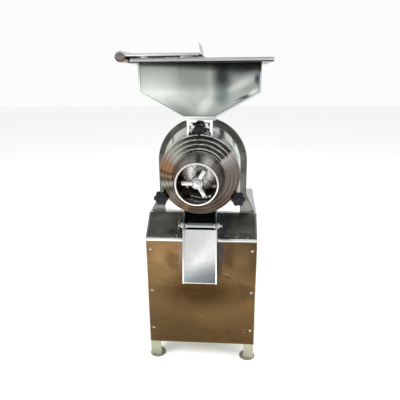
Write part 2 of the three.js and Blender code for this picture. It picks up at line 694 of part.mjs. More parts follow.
// The toothed liner, an open ring from one edge of the screen over the top to the other.
function liner() {
  const rOut = DRUM_BORE - LINER_FIT;
  const rIn = rOut - LINER_BACK - LINER_TOOTH;
  const start = radians(-90 + SCREEN_HALF_ANGLE + LINER_SPLIT);
  const end = radians(270 - SCREEN_HALF_ANGLE - LINER_SPLIT);
  const shape = new THREE.Shape();
  shape.absarc(0, 0, rOut, start, end, false);
  for (let i = 0; i < LINER_TEETH; i += 1) {
    const from = THREE.MathUtils.lerp(end, start, i / LINER_TEETH);
    const to = THREE.MathUtils.lerp(end, start, (i + 1) / LINER_TEETH);
    const valley = THREE.MathUtils.lerp(from, to, 0.8);
    shape.lineTo(rIn * Math.cos(from), rIn * Math.sin(from));
    shape.lineTo((rIn + LINER_TOOTH) * Math.cos(valley), (rIn + LINER_TOOTH) * Math.sin(valley));
  }
  const window = box(-INLET_X, INLET_X, INLET_FRONT, INLET_BACK, AXIS_Z, AXIS_Z + DRUM_R);
  const ring = atAxis(alongY(shape, DRUM_FRONT + LINER_MARGIN, DRUM_BACK - LINER_MARGIN, 18));
  return ring.subtract(window);
}

// The slotted screen under the rotor, an arc of plate.
function screen() {
  const rOut = DRUM_BORE - LINER_FIT;
  const start = radians(270 - SCREEN_HALF_ANGLE);
  const end = radians(270 + SCREEN_HALF_ANGLE);
  const shape = new THREE.Shape();
  shape.absarc(0, 0, rOut, start, end, false);
  shape.absarc(0, 0, rOut - SCREEN_WALL, end, start, true);
  const y0 = DRUM_FRONT + LINER_MARGIN;
  const y1 = DRUM_BACK - LINER_MARGIN;
  const slots = [];
  for (let i = 0; i < SCREEN_SLOTS; i += 1) {
    const angle = THREE.MathUtils.lerp(-SCREEN_SPREAD, SCREEN_SPREAD, i / (SCREEN_SLOTS - 1)) - 90;
    const long = y1 - y0 - 2 * SCREEN_SLOT_END;
    const cutter = new THREE.BoxGeometry(SCREEN_SLOT_WIDTH, long, 3 * SCREEN_WALL);
    cutter.translate(0, (y0 + y1) / 2, rOut - SCREEN_WALL / 2);
    slots.push(atAngle(cutter, angle));
  }
  return cut(atAxis(alongY(shape, y0, y1, 12)), slots);
}

function stud(angle) {
  return atAngle(rod(STUD_R, DOOR_FACE - STUD_REACH, FLANGE_BACK, 16).translate(0, 0, LUG_R), angle);
}

// ---------- Discharge ----------

// Side plates, a falling floor with a turned-down lip, and a back plate, under the drum's outlet.
function throat() {
  const half = THROAT_WIDTH / 2;
  const backY = LIP_Y + THROAT_DEPTH;
  const backZ = LIP_Z + THROAT_FALL;
  const topZ = AXIS_Z - DRUM_R + THROAT_OVERLAP;
  const frontY = DRUM_FRONT + THROAT_SET;
  const side = new THREE.Shape();
  side.moveTo(LIP_Y, PIVOT_Z - PIVOT_EAR + OVERCUT);
  side.lineTo(LIP_Y, LIP_Z - THROAT_WALL);
  side.lineTo(backY, backZ - THROAT_WALL);
  side.lineTo(backY, topZ);
  side.lineTo(frontY, topZ);
  side.lineTo(frontY, AXIS_Z - DRUM_R - THROAT_FOOT);
  side.lineTo(PIVOT_Y - PIVOT_EAR, PIVOT_Z + PIVOT_EAR);
  side.absarc(PIVOT_Y, PIVOT_Z, PIVOT_EAR, Math.PI, 1.5 * Math.PI, false);
  side.holes.push(circle(PIVOT_Y, PIVOT_Z, PIVOT_R + GAP));
  const floor = outline([
    [LIP_Y, LIP_Z - LIP_DROP],
    [LIP_Y + THROAT_WALL, LIP_Z - LIP_DROP],
    [LIP_Y + THROAT_WALL, LIP_Z - THROAT_WALL - OVERCUT],
    [backY - THROAT_WALL, backZ - THROAT_WALL],
    [backY, backZ - THROAT_WALL],
    [backY, topZ],
    [backY - THROAT_WALL, topZ],
    [backY - THROAT_WALL, backZ],
    [LIP_Y, LIP_Z],
  ]);
  const sides = SIDES.map(({ sign }) => {
    const x0 = sign > 0 ? half - THROAT_WALL : -half;
    return solid(alongX(side, x0, x0 + THROAT_WALL));
  });
  const body = union([...sides, solid(alongX(floor, -half + OVERCUT, half - OVERCUT))]);
  const drumSpace = atAxis(rod(DRUM_R + GAP, FLANGE_BACK, FAR, 48));
  const flangeSpace = atAxis(rod(FLANGE_R + GAP, DRUM_FRONT - OVERCUT, FLANGE_BACK + GAP, 48));
  return cut(body, [drumSpace, flangeSpace]);
}

// A short bolt through one throat plate and one chute flange, with a nut on each side.
function pivotBolt(sign) {
  const plateIn = THROAT_WIDTH / 2 - THROAT_WALL - GAP;
  const chuteOut = CHUTE_WIDTH / 2 + GAP;
  const profile = [
    [0, plateIn - PIVOT_NUT - PIVOT_TAIL],
    [PIVOT_R, plateIn - PIVOT_NUT - PIVOT_TAIL],
    [PIVOT_R, plateIn - PIVOT_NUT],
    [PIVOT_NUT_R, plateIn - PIVOT_NUT],
    [PIVOT_NUT_R, plateIn],
    [PIVOT_R, plateIn],
    [PIVOT_R, chuteOut],
    [PIVOT_NUT_R, chuteOut],
    [PIVOT_NUT_R, chuteOut + PIVOT_NUT],
    [PIVOT_R, chuteOut + PIVOT_NUT],
    [PIVOT_R, chuteOut + PIVOT_OUT],
    [0, chuteOut + PIVOT_OUT],
  ];
  const geometry = turned(profile, 12).rotateZ(-sign * Math.PI / 2);
  return solid(geometry.translate(0, PIVOT_Y, PIVOT_Z));
}

// The tilting channel, made hanging straight down from the origin, then leant forward about its pivot.
function chute() {
  const half = CHUTE_WIDTH / 2;
  const frontTop = CHUTE_BACK - CHUTE_FLANGE_TOP;
  const flange = new THREE.Shape();
  flange.moveTo(CHUTE_BACK, -CHUTE_LENGTH);
  flange.lineTo(CHUTE_BACK, -CHUTE_TOP);
  flange.absarc(0, 0, PIVOT_EAR, Math.PI / 6, Math.PI, false);
  flange.lineTo(frontTop, -CHUTE_TOP);
  flange.lineTo(CHUTE_BACK - CHUTE_FLANGE_END, -CHUTE_LENGTH);
  flange.holes.push(circle(0, 0, PIVOT_R + GAP));
  const flanges = SIDES.map(({ sign }) => {
    const x0 = sign > 0 ? half - CHUTE_WALL : -half;
    return solid(alongX(flange, x0, x0 + CHUTE_WALL));
  });
  const hem = outline([
    [frontTop, -CHUTE_TOP],
    [frontTop + CHUTE_HEM_DEPTH, -CHUTE_TOP],
    [CHUTE_BACK - CHUTE_FLANGE_END + CHUTE_HEM_DEPTH, -CHUTE_LENGTH],
    [CHUTE_BACK - CHUTE_FLANGE_END, -CHUTE_LENGTH],
  ]);
  const hems = SIDES.map(({ sign }) => {
    const x0 = sign > 0 ? half - CHUTE_HEM : -half;
    return solid(alongX(hem, x0, x0 + CHUTE_HEM));
  });
  const webHalf = half - CHUTE_WALL / 2;
  const web = box(-webHalf, webHalf, CHUTE_BACK - CHUTE_WALL, CHUTE_BACK, -CHUTE_LENGTH, -CHUTE_TOP);
  const body = union([...flanges, ...hems, web]);
  return body.rotate([-CHUTE_LEAN, 0, 0]).translate([0, PIVOT_Y, PIVOT_Z]);
}

// ---------- Rotor ----------

function rotorShaft() {
  const profile = [
    [0, NUT_FRONT + OVERCUT],
    [NUT_SEAT_R, NUT_FRONT + OVERCUT],
    [NUT_SEAT_R, BEATER_BACK + GAP],
    [SHAFT_R, BEATER_BACK + GAP],
    [SHAFT_R, ROTOR_BACK + GAP],
    [SEAT_R, ROTOR_BACK + GAP],
    [SEAT_R, PULLEY_FRONT - SHAFT_OVER],
    [SHAFT_R, PULLEY_FRONT - SHAFT_OVER],
    [SHAFT_R, PULLEY_BACK + SHAFT_OVER],
    [0, PULLEY_BACK + SHAFT_OVER],
  ];
  return atAxis(turned(profile, 20));
}

// Two discs on a hub, with a hole for each hammer pin.
function rotorCarrier() {
  const bore = SHAFT_R + GAP;
  const profile = [
    [bore, ROTOR_FRONT],
    [DISC_R, ROTOR_FRONT],
    [DISC_R, ROTOR_FRONT + DISC],
    [HUB_R, ROTOR_FRONT + DISC],
    [HUB_R, ROTOR_BACK - DISC],
    [DISC_R, ROTOR_BACK - DISC],
    [DISC_R, ROTOR_BACK],
    [bore, ROTOR_BACK],
  ];
  const holes = pinAngles().map((angle) => {
    const hole = rod(PIN_R + GAP, ROTOR_FRONT - OVERCUT, ROTOR_BACK + OVERCUT, 12);
    return atAngle(hole.translate(0, 0, PIN_CIRCLE), angle);
  });
  return cut(atAxis(turned(profile, 28)), holes);
}

function pinAngles() {
  return Array.from({ length: PIN_COUNT }, (_, i) => 45 + (i * 360) / PIN_COUNT);
}

function hammerPin(angle) {
  const profile = [
    [0, ROTOR_FRONT - GAP - PIN_HEAD],
    [PIN_HEAD_R, ROTOR_FRONT - GAP - PIN_HEAD],
    [PIN_HEAD_R, ROTOR_FRONT - GAP],
    [PIN_R, ROTOR_FRONT - GAP],
    [PIN_R, ROTOR_BACK + PIN_OVER],
    [0, ROTOR_BACK + PIN_OVER],
  ];
  return atAngle(turned(profile, 12).translate(0, 0, PIN_CIRCLE), angle);
}

// A hammer hanging straight down from its pin.
function hammer(angle) {
  const half = HAMMER_WIDTH / 2;
  const shape = new THREE.Shape();
  shape.moveTo(-half, -HAMMER_REACH);
  shape.lineTo(half, -HAMMER_REACH);
  shape.absarc(0, 0, half, 0, Math.PI, false);
  shape.holes.push(circle(0, 0, PIN_R + RUNNING));
  const y0 = (ROTOR_FRONT + ROTOR_BACK - HAMMER_LENGTH) / 2;
  const geometry = alongY(shape, y0, y0 + HAMMER_LENGTH, 6);
  const x = PIN_CIRCLE * Math.cos(radians(angle));
  const z = PIN_CIRCLE * Math.sin(radians(angle));
  return atAxis(geometry.translate(x, 0, z));
}

// The three-armed feed beater just inside the mouth.
function feedBeater() {
  const arms = BEATER_ANGLES.map((angle) => {
    const length = BEATER_R - BEATER_ROOT;
    const arm = new THREE.BoxGeometry(BEATER_ARM, BEATER_DEPTH, length);
    arm.translate(0, (BEATER_FRONT + BEATER_BACK) / 2, BEATER_R - length / 2);
    return atAngle(arm, angle);
  });
  const hub = atAxis(rod(BEATER_HUB_R, BEATER_FRONT, BEATER_BACK, 24));
  const bore = atAxis(rod(NUT_SEAT_R + GAP, BEATER_FRONT - OVERCUT, BEATER_BACK + OVERCUT, 16));
  return union([hub, ...arms]).subtract(bore);
}

function hubNut() {
  const hexagon = new THREE.Shape();
  for (let i = 0; i < 6; i += 1) {
    const angle = (i * Math.PI) / 3 + Math.PI / 6;
    const [u, v] = [NUT_R * Math.cos(angle), NUT_R * Math.sin(angle)];
    if (i) hexagon.lineTo(u, v);
    else hexagon.moveTo(u, v);
  }
  hexagon.holes.push(circle(0, 0, NUT_SEAT_R + GAP));
  return atAxis(alongY(hexagon, NUT_FRONT, NUT_FRONT + NUT_LENGTH, 8));
}

// A grooved pulley of outer radius r about the y axis.
function pulley(r, bore) {
  const floorR = r - BELT_HEIGHT - BELT_CLEAR;
  const halfFloor = BELT_WIDTH / 2 + GROOVE_FLOOR_PLAY;
  const halfTop = BELT_WIDTH / 2 + GROOVE_MOUTH_PLAY;
  const profile = [
    [bore, PULLEY_FRONT],
    [r, PULLEY_FRONT],
    [r, BELT_MIDDLE - halfTop],
    [floorR, BELT_MIDDLE - halfFloor],
    [floorR, BELT_MIDDLE + halfFloor],
    [r, BELT_MIDDLE + halfTop],
    [r, PULLEY_BACK],
    [bore, PULLEY_BACK],
  ];
  return turned(profile, 28);
}

// A loop around both pulleys: two arcs joined by their outer tangents, `offset` outside the pulleys' rims.
function beltLoop(offset, path) {
  const low = MOTOR_PULLEY_R + offset;
  const high = ROTOR_PULLEY_R + offset;
  const distance = AXIS_Z - MOTOR_Z;
  const tilt = Math.asin((low - high) / distance);
  path.absarc(0, AXIS_Z, high, tilt, Math.PI - tilt, false);
  path.absarc(0, MOTOR_Z, low, Math.PI - tilt, 2 * Math.PI + tilt, false);
  path.closePath();
  return path;
}

function belt() {
  const shape = beltLoop(0, new THREE.Shape());
  shape.holes.push(beltLoop(-BELT_HEIGHT, new THREE.Path()));
  return solid(alongY(shape, BELT_MIDDLE - BELT_WIDTH / 2, BELT_MIDDLE + BELT_WIDTH / 2, 12));
}

// ---------- Motor ----------

function motorBody() {
  const rear = MOTOR_BACK;
  const front = MOTOR_FRONT + FAN_COVER_LENGTH + GAP;
  const profile = [
    [0, front],
    [MOTOR_R - MOTOR_CHAMFER, front],
    [MOTOR_R, front + MOTOR_CHAMFER],
    [MOTOR_R, rear - MOTOR_NOSE],
    [MOTOR_R * MOTOR_TAPER, rear],
    [MOTOR_SHAFT_R + SHAFT_HOLE_PLAY, rear],
    [MOTOR_SHAFT_R + SHAFT_HOLE_PLAY, rear - MOTOR_NOSE],
    [0, rear - MOTOR_NOSE],
  ];
  const barrel = solid(turned(profile, 28).translate(0, 0, MOTOR_Z));
  const footZ = PLATFORM_TOP + GAP;
  const feet = SIDES.map(({ sign }) => {
    const x0 = sign * MOTOR_R * 0.7 - MOTOR_FOOT_WIDTH / 2;
    const [y0, y1] = [front + MOTOR_FOOT_INSET, rear - 1.5 * MOTOR_NOSE];
    return box(x0, x0 + MOTOR_FOOT_WIDTH, y0, y1, footZ, MOTOR_Z - MOTOR_R * MOTOR_TAPER);
  });
  return union([barrel, ...feet]);
}

function fanCover() {
  const rear = MOTOR_FRONT + FAN_COVER_LENGTH;
  const profile = [
    [0, MOTOR_FRONT],
    [MOTOR_R - FAN_COVER_ROUND, MOTOR_FRONT],
    [MOTOR_R, MOTOR_FRONT + FAN_COVER_ROUND],
    [MOTOR_R, rear],
    [MOTOR_R - SHEET, rear],
    [MOTOR_R - SHEET, MOTOR_FRONT + FAN_COVER_ROUND + SHEET / 2],
    [MOTOR_R - FAN_COVER_ROUND - SHEET / 2, MOTOR_FRONT + SHEET],
    [0, MOTOR_FRONT + SHEET],
  ];
  return solid(turned(profile, 28).translate(0, 0, MOTOR_Z));
}

function motorShaft() {
  const geometry = rod(MOTOR_SHAFT_R, MOTOR_BACK - MOTOR_NOSE + SHAFT_OVER, PULLEY_BACK + SHAFT_OVER, 16);
  return solid(geometry.translate(0, 0, MOTOR_Z));
}

// ---------- Door ----------

// The turned cover: flange, four stepped rings, a tapering nose and a rolled mouth, with three ears.
function door() {
  const outer = [[FLANGE_R, DOOR_BACK]];
  let r = FLANGE_R;
  let y = DOOR_FACE;
  outer.push([r, y]);
  for (const { inset, rise } of DOOR_STEPS) {
    r -= inset;
    outer.push([r, y]);
    y -= rise;
    outer.push([r, y]);
  }
  const bore = MOUTH_R - MOUTH_WALL;
  const lip = MOUTH_WALL / 4;
  const mouth = [
    [MOUTH_R - lip, MOUTH_Y + MOUTH_WALL],
    [MOUTH_R, MOUTH_Y + MOUTH_WALL],
    [MOUTH_R, MOUTH_Y + lip],
    [MOUTH_R - lip, MOUTH_Y],
    [bore + lip, MOUTH_Y],
    [bore, MOUTH_Y + lip],
    [bore, MOUTH_Y + MOUTH_WALL],
  ];
  const inner = [
    [NOSE_R - DOOR_WALL, NOSE_BASE],
    [DRUM_BORE - DOOR_SEAT, DOOR_BACK],
  ];
  const cover = atAxis(turned([...outer, ...mouth, ...inner], 36));
  const ears = LUG_ANGLES.map((angle) => {
    const shape = tongue(FLANGE_R - EAR_ROOT, LUG_R, LUG_HALF);
    return atAngle(alongY(shape, DOOR_FACE, DOOR_BACK, 6), angle);
  });
  const holes = LUG_ANGLES.map((angle) => {
    const hole = rod(STUD_R + STUD_CLEAR, DOOR_FACE - OVERCUT, DOOR_BACK + OVERCUT, 16);
    return atAngle(hole.translate(0, 0, LUG_R), angle);
  });
  return cut(union([cover, ...ears]), holes);
}

function gasket() {
  const y0 = DRUM_FRONT - GAP - GASKET;
  return atAxis(tube(FLANGE_R - OVERCUT, DRUM_BORE + OVERCUT, y0, y0 + GASKET, 30));
}

// A clamping knob with a blind bore: six lobes, or round where `lobe` is 0.
function knob(angle, r, lobe) {
  const steps = 24;
  const points = Array.from({ length: steps }, (_, i) => {
    const turn = (i * 2 * Math.PI) / steps;
    const reach = r - KNOB_BEVEL - lobe + lobe * Math.cos(6 * turn);
    return [reach * Math.cos(turn), reach * Math.sin(turn)];
  });
  const y1 = DOOR_FACE - GAP;
  const y0 = y1 - KNOB_LENGTH;
  const bevel = { bevelEnabled: true, bevelThickness: KNOB_BEVEL, bevelSize: KNOB_BEVEL, bevelSegments: 1 };
  const body = alongY(outline(points), y0, y1, 1, bevel).translate(0, 0, LUG_R);
  const bore = rod(STUD_R + RUNNING, y1 - STUD_REACH - OVERCUT, y1 + OVERCUT, 16).translate(0, 0, LUG_R);
  return atAngle(body, angle).subtract(atAngle(bore, angle));
}

// ---------- Feed ----------

// The square neck: a rounded tube shaped to the drum, with a flange on top.
function neck() {
  const half = NECK_WIDTH / 2;
  const outer = roundedRectangle(-half, half, NECK_FRONT, NECK_BACK, NECK_CORNER);
  const [innerX, y0, y1] = [half - NECK_WALL, NECK_FRONT + NECK_WALL, NECK_BACK - NECK_WALL];
  const inner = roundedRectangle(-innerX, innerX, y0, y1, NECK_CORNER - NECK_WALL);
  const body = solid(alongZ(outer, AXIS_Z, NECK_TOP));
  const out = FEED_FLANGE_OUT;
  const z0 = NECK_TOP - FEED_FLANGE;
  const flange = box(-half - out, half + out, NECK_FRONT - out, NECK_BACK + out, z0, NECK_TOP);
  const bore = solid(alongZ(inner, AXIS_Z - OVERCUT, NECK_TOP + OVERCUT));
  const drumSpace = atAxis(rod(DRUM_R + GAP, NECK_FRONT - OVERCUT, FAR, 48));
  return cut(body.add(flange), [bore, drumSpace]);
}

// The corners of a rectangle at one level.
function corners(x, y0, y1, z) {
  return [[-x, y0], [x, y0], [x, y1], [-x, y1]].map(([u, v]) => new THREE.Vector3(u, v, z));
}

// The hopper: upright band, sides and back falling to the neck, an upright front, and a flange below.
function hopper() {
  const wall = HOPPER_WALL;
  const half = HOPPER_WIDTH / 2;
  const footX = NECK_WIDTH / 2 + HOPPER_FOOT_OUT;
  const footY = NECK_BACK - HOPPER_WALL / 2;
  const outer = new ConvexGeometry([
    ...corners(footX, HOPPER_FRONT, footY, HOPPER_BOTTOM),
    ...corners(half, HOPPER_FRONT, HOPPER_BACK, HOPPER_KNEE),
    ...corners(half, HOPPER_FRONT, HOPPER_BACK, HOPPER_TOP),
  ]);
  const innerX = footX - 2 * wall;
  const innerY = footY - 2 * wall;
  const inner = new ConvexGeometry([
    ...corners(innerX, HOPPER_FRONT + wall, innerY, HOPPER_BOTTOM - OVERCUT),
    ...corners(half - wall, HOPPER_FRONT + wall, HOPPER_BACK - wall, HOPPER_KNEE),
    ...corners(half - wall, HOPPER_FRONT + wall, HOPPER_BACK - wall, HOPPER_TOP + OVERCUT),
  ]);
  const out = FEED_FLANGE_OUT;
  const flangeX = NECK_WIDTH / 2 + out;
  const flangeTop = HOPPER_BOTTOM + FEED_FLANGE;
  const flange = box(-flangeX, flangeX, NECK_FRONT - out, NECK_BACK + out, HOPPER_BOTTOM, flangeTop);
  const low = HOPPER_BOTTOM - OVERCUT;
  const hole = box(-innerX, innerX, HOPPER_FRONT + wall, innerY, low, flangeTop + OVERCUT);
  return cut(solid(outer).add(flange), [solid(inner), hole]);
}

// The tray round the hopper's mouth, with a rounded rim.
function tray() {
  const outer = roundedRectangle(TRAY_LEFT, TRAY_RIGHT, TRAY_FRONT, TRAY_BACK, TRAY_CORNER);
  const lip = TRAY_LIP_WIDTH;
  const [x0, x1] = [TRAY_LEFT + lip, TRAY_RIGHT - lip];
  const inner = roundedRectangle(x0, x1, TRAY_FRONT + lip, TRAY_BACK - lip, TRAY_CORNER - lip);
  const soft = { bevelThickness: TRAY_ROUND, bevelSize: TRAY_ROUND, bevelOffset: -TRAY_ROUND };
  const block = alongZ(outer, TRAY_BOTTOM, TRAY_TOP, 6, { bevelEnabled: true, bevelSegments: 3, ...soft });
  const pan = solid(alongZ(inner, TRAY_BOTTOM + SHEET, TRAY_TOP + OVERCUT));
  const x = HOPPER_WIDTH / 2 - HOPPER_WALL;
  const [y0, y1] = [HOPPER_FRONT + HOPPER_WALL, HOPPER_BACK - HOPPER_WALL];
  const mouth = box(-x, x, y0, y1, TRAY_BOTTOM - OVERCUT, TRAY_TOP + OVERCUT);
  return cut(solid(block), [pan, mouth]);
}

function lidRail(x) {
  const half = RAIL_WIDTH / 2;
  const z0 = TRAY_TOP + GAP;
  return box(x - half, x + half, TRAY_FRONT + RAIL_INSET, TRAY_BACK - RAIL_INSET, z0, z0 + RAIL_HEIGHT);
}

// The half lid: a plate with folded front and rear edges and a leaning tab at its inner end.
function lid() {
  const x0 = GRIP_X;
  const plate = box(x0, LID_REACH, LID_FRONT, LID_BACK, LID_UNDER, LID_TOP);
  const folds = [LID_FRONT, LID_BACK - SHEET].map((y) => {
    return box(x0 + GRIP_R, LID_REACH, y, y + SHEET, LID_TOP - LID_FOLD, LID_TOP - SHEET / 2);
  });
  const tabFront = (LID_FRONT + LID_BACK - TAB_WIDTH) / 2;
  const root = LID_TOP - 2 * TAB_CORNER;
  const tab = roundedRectangle(tabFront, tabFront + TAB_WIDTH, root, LID_TOP + TAB_HEIGHT, TAB_CORNER);
  const leaning = alongX(tab, -SHEET, 0, 5).translate(0, 0, -LID_TOP).rotateY(-radians(TAB_LEAN));
  const upright = solid(leaning.translate(LID_REACH, 0, LID_TOP));
  const inside = [LID_FRONT + SHEET, LID_BACK - SHEET];
  const under = box(-FAR, FAR, ...inside, root - OVERCUT, LID_UNDER);
  const gripSpace = rod(GRIP_R + GAP, LID_FRONT - OVERCUT, LID_BACK + OVERCUT, 24);
  return cut(union([plate, ...folds, upright]), [under, solid(gripSpace.translate(GRIP_X, 0, GRIP_Z))]);
}

// The grip along the lid's outer edge: a tube with a rounded cap in front, open at the rear.
function lidGrip() {
  const bore = GRIP_R - GRIP_WALL;
  const profile = [
    [0, LID_FRONT],
    [GRIP_R * (1 - GRIP_ROUND), LID_FRONT],
    [GRIP_R, LID_FRONT + GRIP_R * GRIP_ROUND],
    [GRIP_R, LID_BACK],
    [bore, LID_BACK],
    [bore, LID_FRONT + 2 * GRIP_WALL],
    [0, LID_FRONT + 2 * GRIP_WALL],
  ];
  return solid(turned(profile, 20).translate(GRIP_X, 0, GRIP_Z));
}

// ---------- Cable inlet ----------

function cableGland() {
  const face = CABINET_DEPTH + GAP;
  const profile = [
    [GLAND_BORE, CABINET_DEPTH - SHEET - GLAND_IN],
    [GLAND_R, CABINET_DEPTH - SHEET - GLAND_IN],
    [GLAND_R, face],
    [GLAND_NUT_R, face],
    [GLAND_NUT_R, face + GLAND_HEX],
    [(GLAND_R + GLAND_NUT_R) / 2, GLAND_BACK],
    [GLAND_BORE, GLAND_BACK],
  ];
  return solid(turned(profile, 16).translate(GLAND_SIDE, 0, GLAND_Z));
}

// ---------- Assembly ----------

const mill = new THREE.Group();

const cabinet = new THREE.Group();
for (const { word, sign } of SIDES) {
  add(cabinet, `leg_front_${word}`, leg(sign, false, FRONT_TOP - SHEET - GAP), LEG_PAINT);
  add(cabinet, `leg_rear_${word}`, leg(sign, true, DECK_TOP - SHEET - GAP), LEG_PAINT);
  add(cabinet, `foot_front_${word}`, foot(sign, false), FOOT_PAINT);
  add(cabinet, `foot_rear_${word}`, foot(sign, true), FOOT_PAINT);
  add(cabinet, `${word}_panel`, sidePanel(sign), MIRROR);
}
add(cabinet, "front_panel", frontPanel(), WARM_MIRROR);
add(cabinet, "rear_panel", rearPanel(), SATIN);
add(cabinet, "deck", deck(), DARK_STEEL);
add(cabinet, "motor_platform", motorPlatform(), LEG_PAINT);
add(cabinet, "cable_gland", cableGland(), BLACK_PLASTIC);

const housing = new THREE.Group();
add(housing, "arch_plate", archPlate(), MIRROR);
add(housing, "hood", hood(), MIRROR);
add(housing, "bearing_pedestal", pedestal(), LEG_PAINT);
add(housing, "bearing_front", bearing(BEARING_FRONT), CAST);
add(housing, "bearing_rear", bearing(BEARING_REAR), CAST);
add(housing, "drum", drum(), MIRROR);
add(housing, "liner", liner(), CAST);
add(housing, "screen", screen(), SATIN);
add(housing, "discharge_throat", throat(), SATIN);

const feed = new THREE.Group();
add(feed, "neck", neck(), MIRROR);
add(feed, "hopper", hopper(), SATIN);
add(feed, "tray", tray(), MIRROR);
add(feed, "lid_rail_left", lidRail(RAIL_OFFSETS[0]), SATIN);
add(feed, "lid_rail_right", lidRail(RAIL_OFFSETS[1]), SATIN);
add(feed, "lid", lid(), MIRROR);
add(feed, "lid_grip", lidGrip(), MIRROR);

const drive = new THREE.Group();
add(drive, "motor_body", motorBody(), MOTOR_PAINT);
add(drive, "motor_fan_cover", fanCover(), MOTOR_PAINT);
add(drive, "motor_shaft", motorShaft(), SATIN);
const motorPulley = pulley(MOTOR_PULLEY_R, MOTOR_SHAFT_R + GAP).translate(0, 0, MOTOR_Z);
add(drive, "motor_pulley", solid(motorPulley), CAST);
add(drive, "drive_belt", belt(), RUBBER);

const rotor = new THREE.Group();
add(rotor, "rotor_shaft", rotorShaft(), SATIN);
add(rotor, "rotor_carrier", rotorCarrier(), TURNED);
add(rotor, "rotor_pulley", atAxis(pulley(ROTOR_PULLEY_R, SHAFT_R + GAP)), CAST);
add(rotor, "feed_beater", feedBeater(), SATIN);
add(rotor, "hub_nut", hubNut(), SATIN);
pinAngles().forEach((angle, i) => {
  add(rotor, `hammer_pin_${i + 1}`, hammerPin(angle), SATIN);
  add(rotor, `hammer_${i + 1}`, hammer(angle), TURNED);
});

const front = new THREE.Group();
add(front, "door", door(), TURNED);
add(front, "door_gasket", gasket(), RUBBER);
const [TOP_ANGLE, LEFT_ANGLE, RIGHT_ANGLE] = LUG_ANGLES;
add(front, "stud_top", stud(TOP_ANGLE), SATIN);
add(front, "stud_left", stud(LEFT_ANGLE), SATIN);
add(front, "stud_right", stud(RIGHT_ANGLE), SATIN);
add(front, "knob_top", knob(TOP_ANGLE, TOP_KNOB_R, 0), BLACK_PLASTIC);
add(front, "knob_left", knob(LEFT_ANGLE, KNOB_R, KNOB_LOBE), BLACK_PLASTIC);
add(front, "knob_right", knob(RIGHT_ANGLE, KNOB_R, KNOB_LOBE), BLACK_PLASTIC);

const discharge = new THREE.Group();
add(discharge, "chute", chute(), SATIN);
add(discharge, "chute_bolt_left", pivotBolt(-1), SATIN);
add(discharge, "chute_bolt_right", pivotBolt(1), SATIN);

// The outer box runs from the grip to the tray's right edge, and from the mouth to the gland.
mill.add(cabinet, housing, feed, drive, rotor, front, discharge);
mill.position.set(-(GRIP_X - GRIP_R + TRAY_RIGHT) / 2, -(MOUTH_Y + GLAND_BACK) / 2, 0);

export default mill;
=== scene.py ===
"""The look of an upright hammer mill: its turned, folded and moulded pieces, their finishes, and the
floor, lights and camera round it.

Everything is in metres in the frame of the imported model: +Z up, the door and the chute face -Y.
"""

import json
import math

import bmesh
import bpy
import numpy as np
from mathutils import Matrix, Vector


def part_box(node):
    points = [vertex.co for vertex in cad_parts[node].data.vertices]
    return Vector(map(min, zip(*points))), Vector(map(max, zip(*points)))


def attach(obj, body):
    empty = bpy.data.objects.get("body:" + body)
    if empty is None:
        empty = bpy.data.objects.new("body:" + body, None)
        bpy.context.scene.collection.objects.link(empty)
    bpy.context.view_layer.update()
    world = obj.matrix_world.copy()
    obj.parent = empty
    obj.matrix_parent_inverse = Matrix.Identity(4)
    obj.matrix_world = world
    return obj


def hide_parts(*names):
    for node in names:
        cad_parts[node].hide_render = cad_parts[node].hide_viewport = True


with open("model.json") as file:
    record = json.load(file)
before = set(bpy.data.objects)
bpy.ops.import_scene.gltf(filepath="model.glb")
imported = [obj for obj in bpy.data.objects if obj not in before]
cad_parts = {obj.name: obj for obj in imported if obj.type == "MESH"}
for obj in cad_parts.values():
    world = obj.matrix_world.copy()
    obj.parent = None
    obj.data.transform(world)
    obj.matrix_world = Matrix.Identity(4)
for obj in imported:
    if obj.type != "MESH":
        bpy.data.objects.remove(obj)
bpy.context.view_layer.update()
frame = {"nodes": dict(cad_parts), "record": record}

MM = 0.001
TURN = 2 * math.pi
EDGE = 0.5 * MM  # rounding of the CAD pieces' edges
FLANGE_R = 134 * MM
STEPS = [(13, 15), (13, 10), (13.5, 5), (9.5, 8)]  # the door's rings: the rim's inset and height, in mm
CRESTS = [FLANGE_R - sum(inset for inset, _ in STEPS[:i]) * MM for i in range(len(STEPS) + 1)]
MOUTH_R = 67 * MM


def middle(node):
    """The middle of a CAD node's box."""
    low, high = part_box(node)
    return (low + high) / 2


AXIS = middle("rotor_shaft")  # the rotor's axis runs along y through this x and z
DOOR_LOW, DOOR_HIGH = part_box("door")
PANEL_LOW, PANEL_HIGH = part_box("front_panel")
DECK_LOW, DECK_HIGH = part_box("deck")
ARCH_LOW, ARCH_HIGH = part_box("arch_plate")
HOPPER_LOW, HOPPER_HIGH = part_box("hopper")
TRAY_LOW, TRAY_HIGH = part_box("tray")
NECK_LOW, NECK_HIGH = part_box("neck")
CHUTE_LOW, CHUTE_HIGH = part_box("chute")
ARCH_R = 161 * MM
ARCH_RIM = 19 * MM  # width of the arch plate's folded rim
ARCH_CENTRE_Z = ARCH_HIGH.z - ARCH_R
HOPPER_HALF = (HOPPER_HIGH.x - HOPPER_LOW.x) / 2
HOPPER_FOOT_HALF = 50 * MM  # where its sides meet the neck
HOPPER_SLANT = 78 * MM  # height of its slanting foot


# ---------- Surfaces ----------


def grid(points, wrap_u=False, wrap_v=False):
    """Vertices and quads of a surface given as an array (rows, columns, 3); a wrapped side joins its end to
    its start."""
    rows, columns = points.shape[:2]
    number = np.arange(rows * columns).reshape(rows, columns)
    if wrap_u:
        number = np.vstack([number, number[:1]])
    if wrap_v:
        number = np.hstack([number, number[:, :1]])
    quads = np.stack([number[:-1, :-1], number[1:, :-1], number[1:, 1:], number[:-1, 1:]], -1).reshape(-1, 4)
    return points.reshape(-1, 3), quads


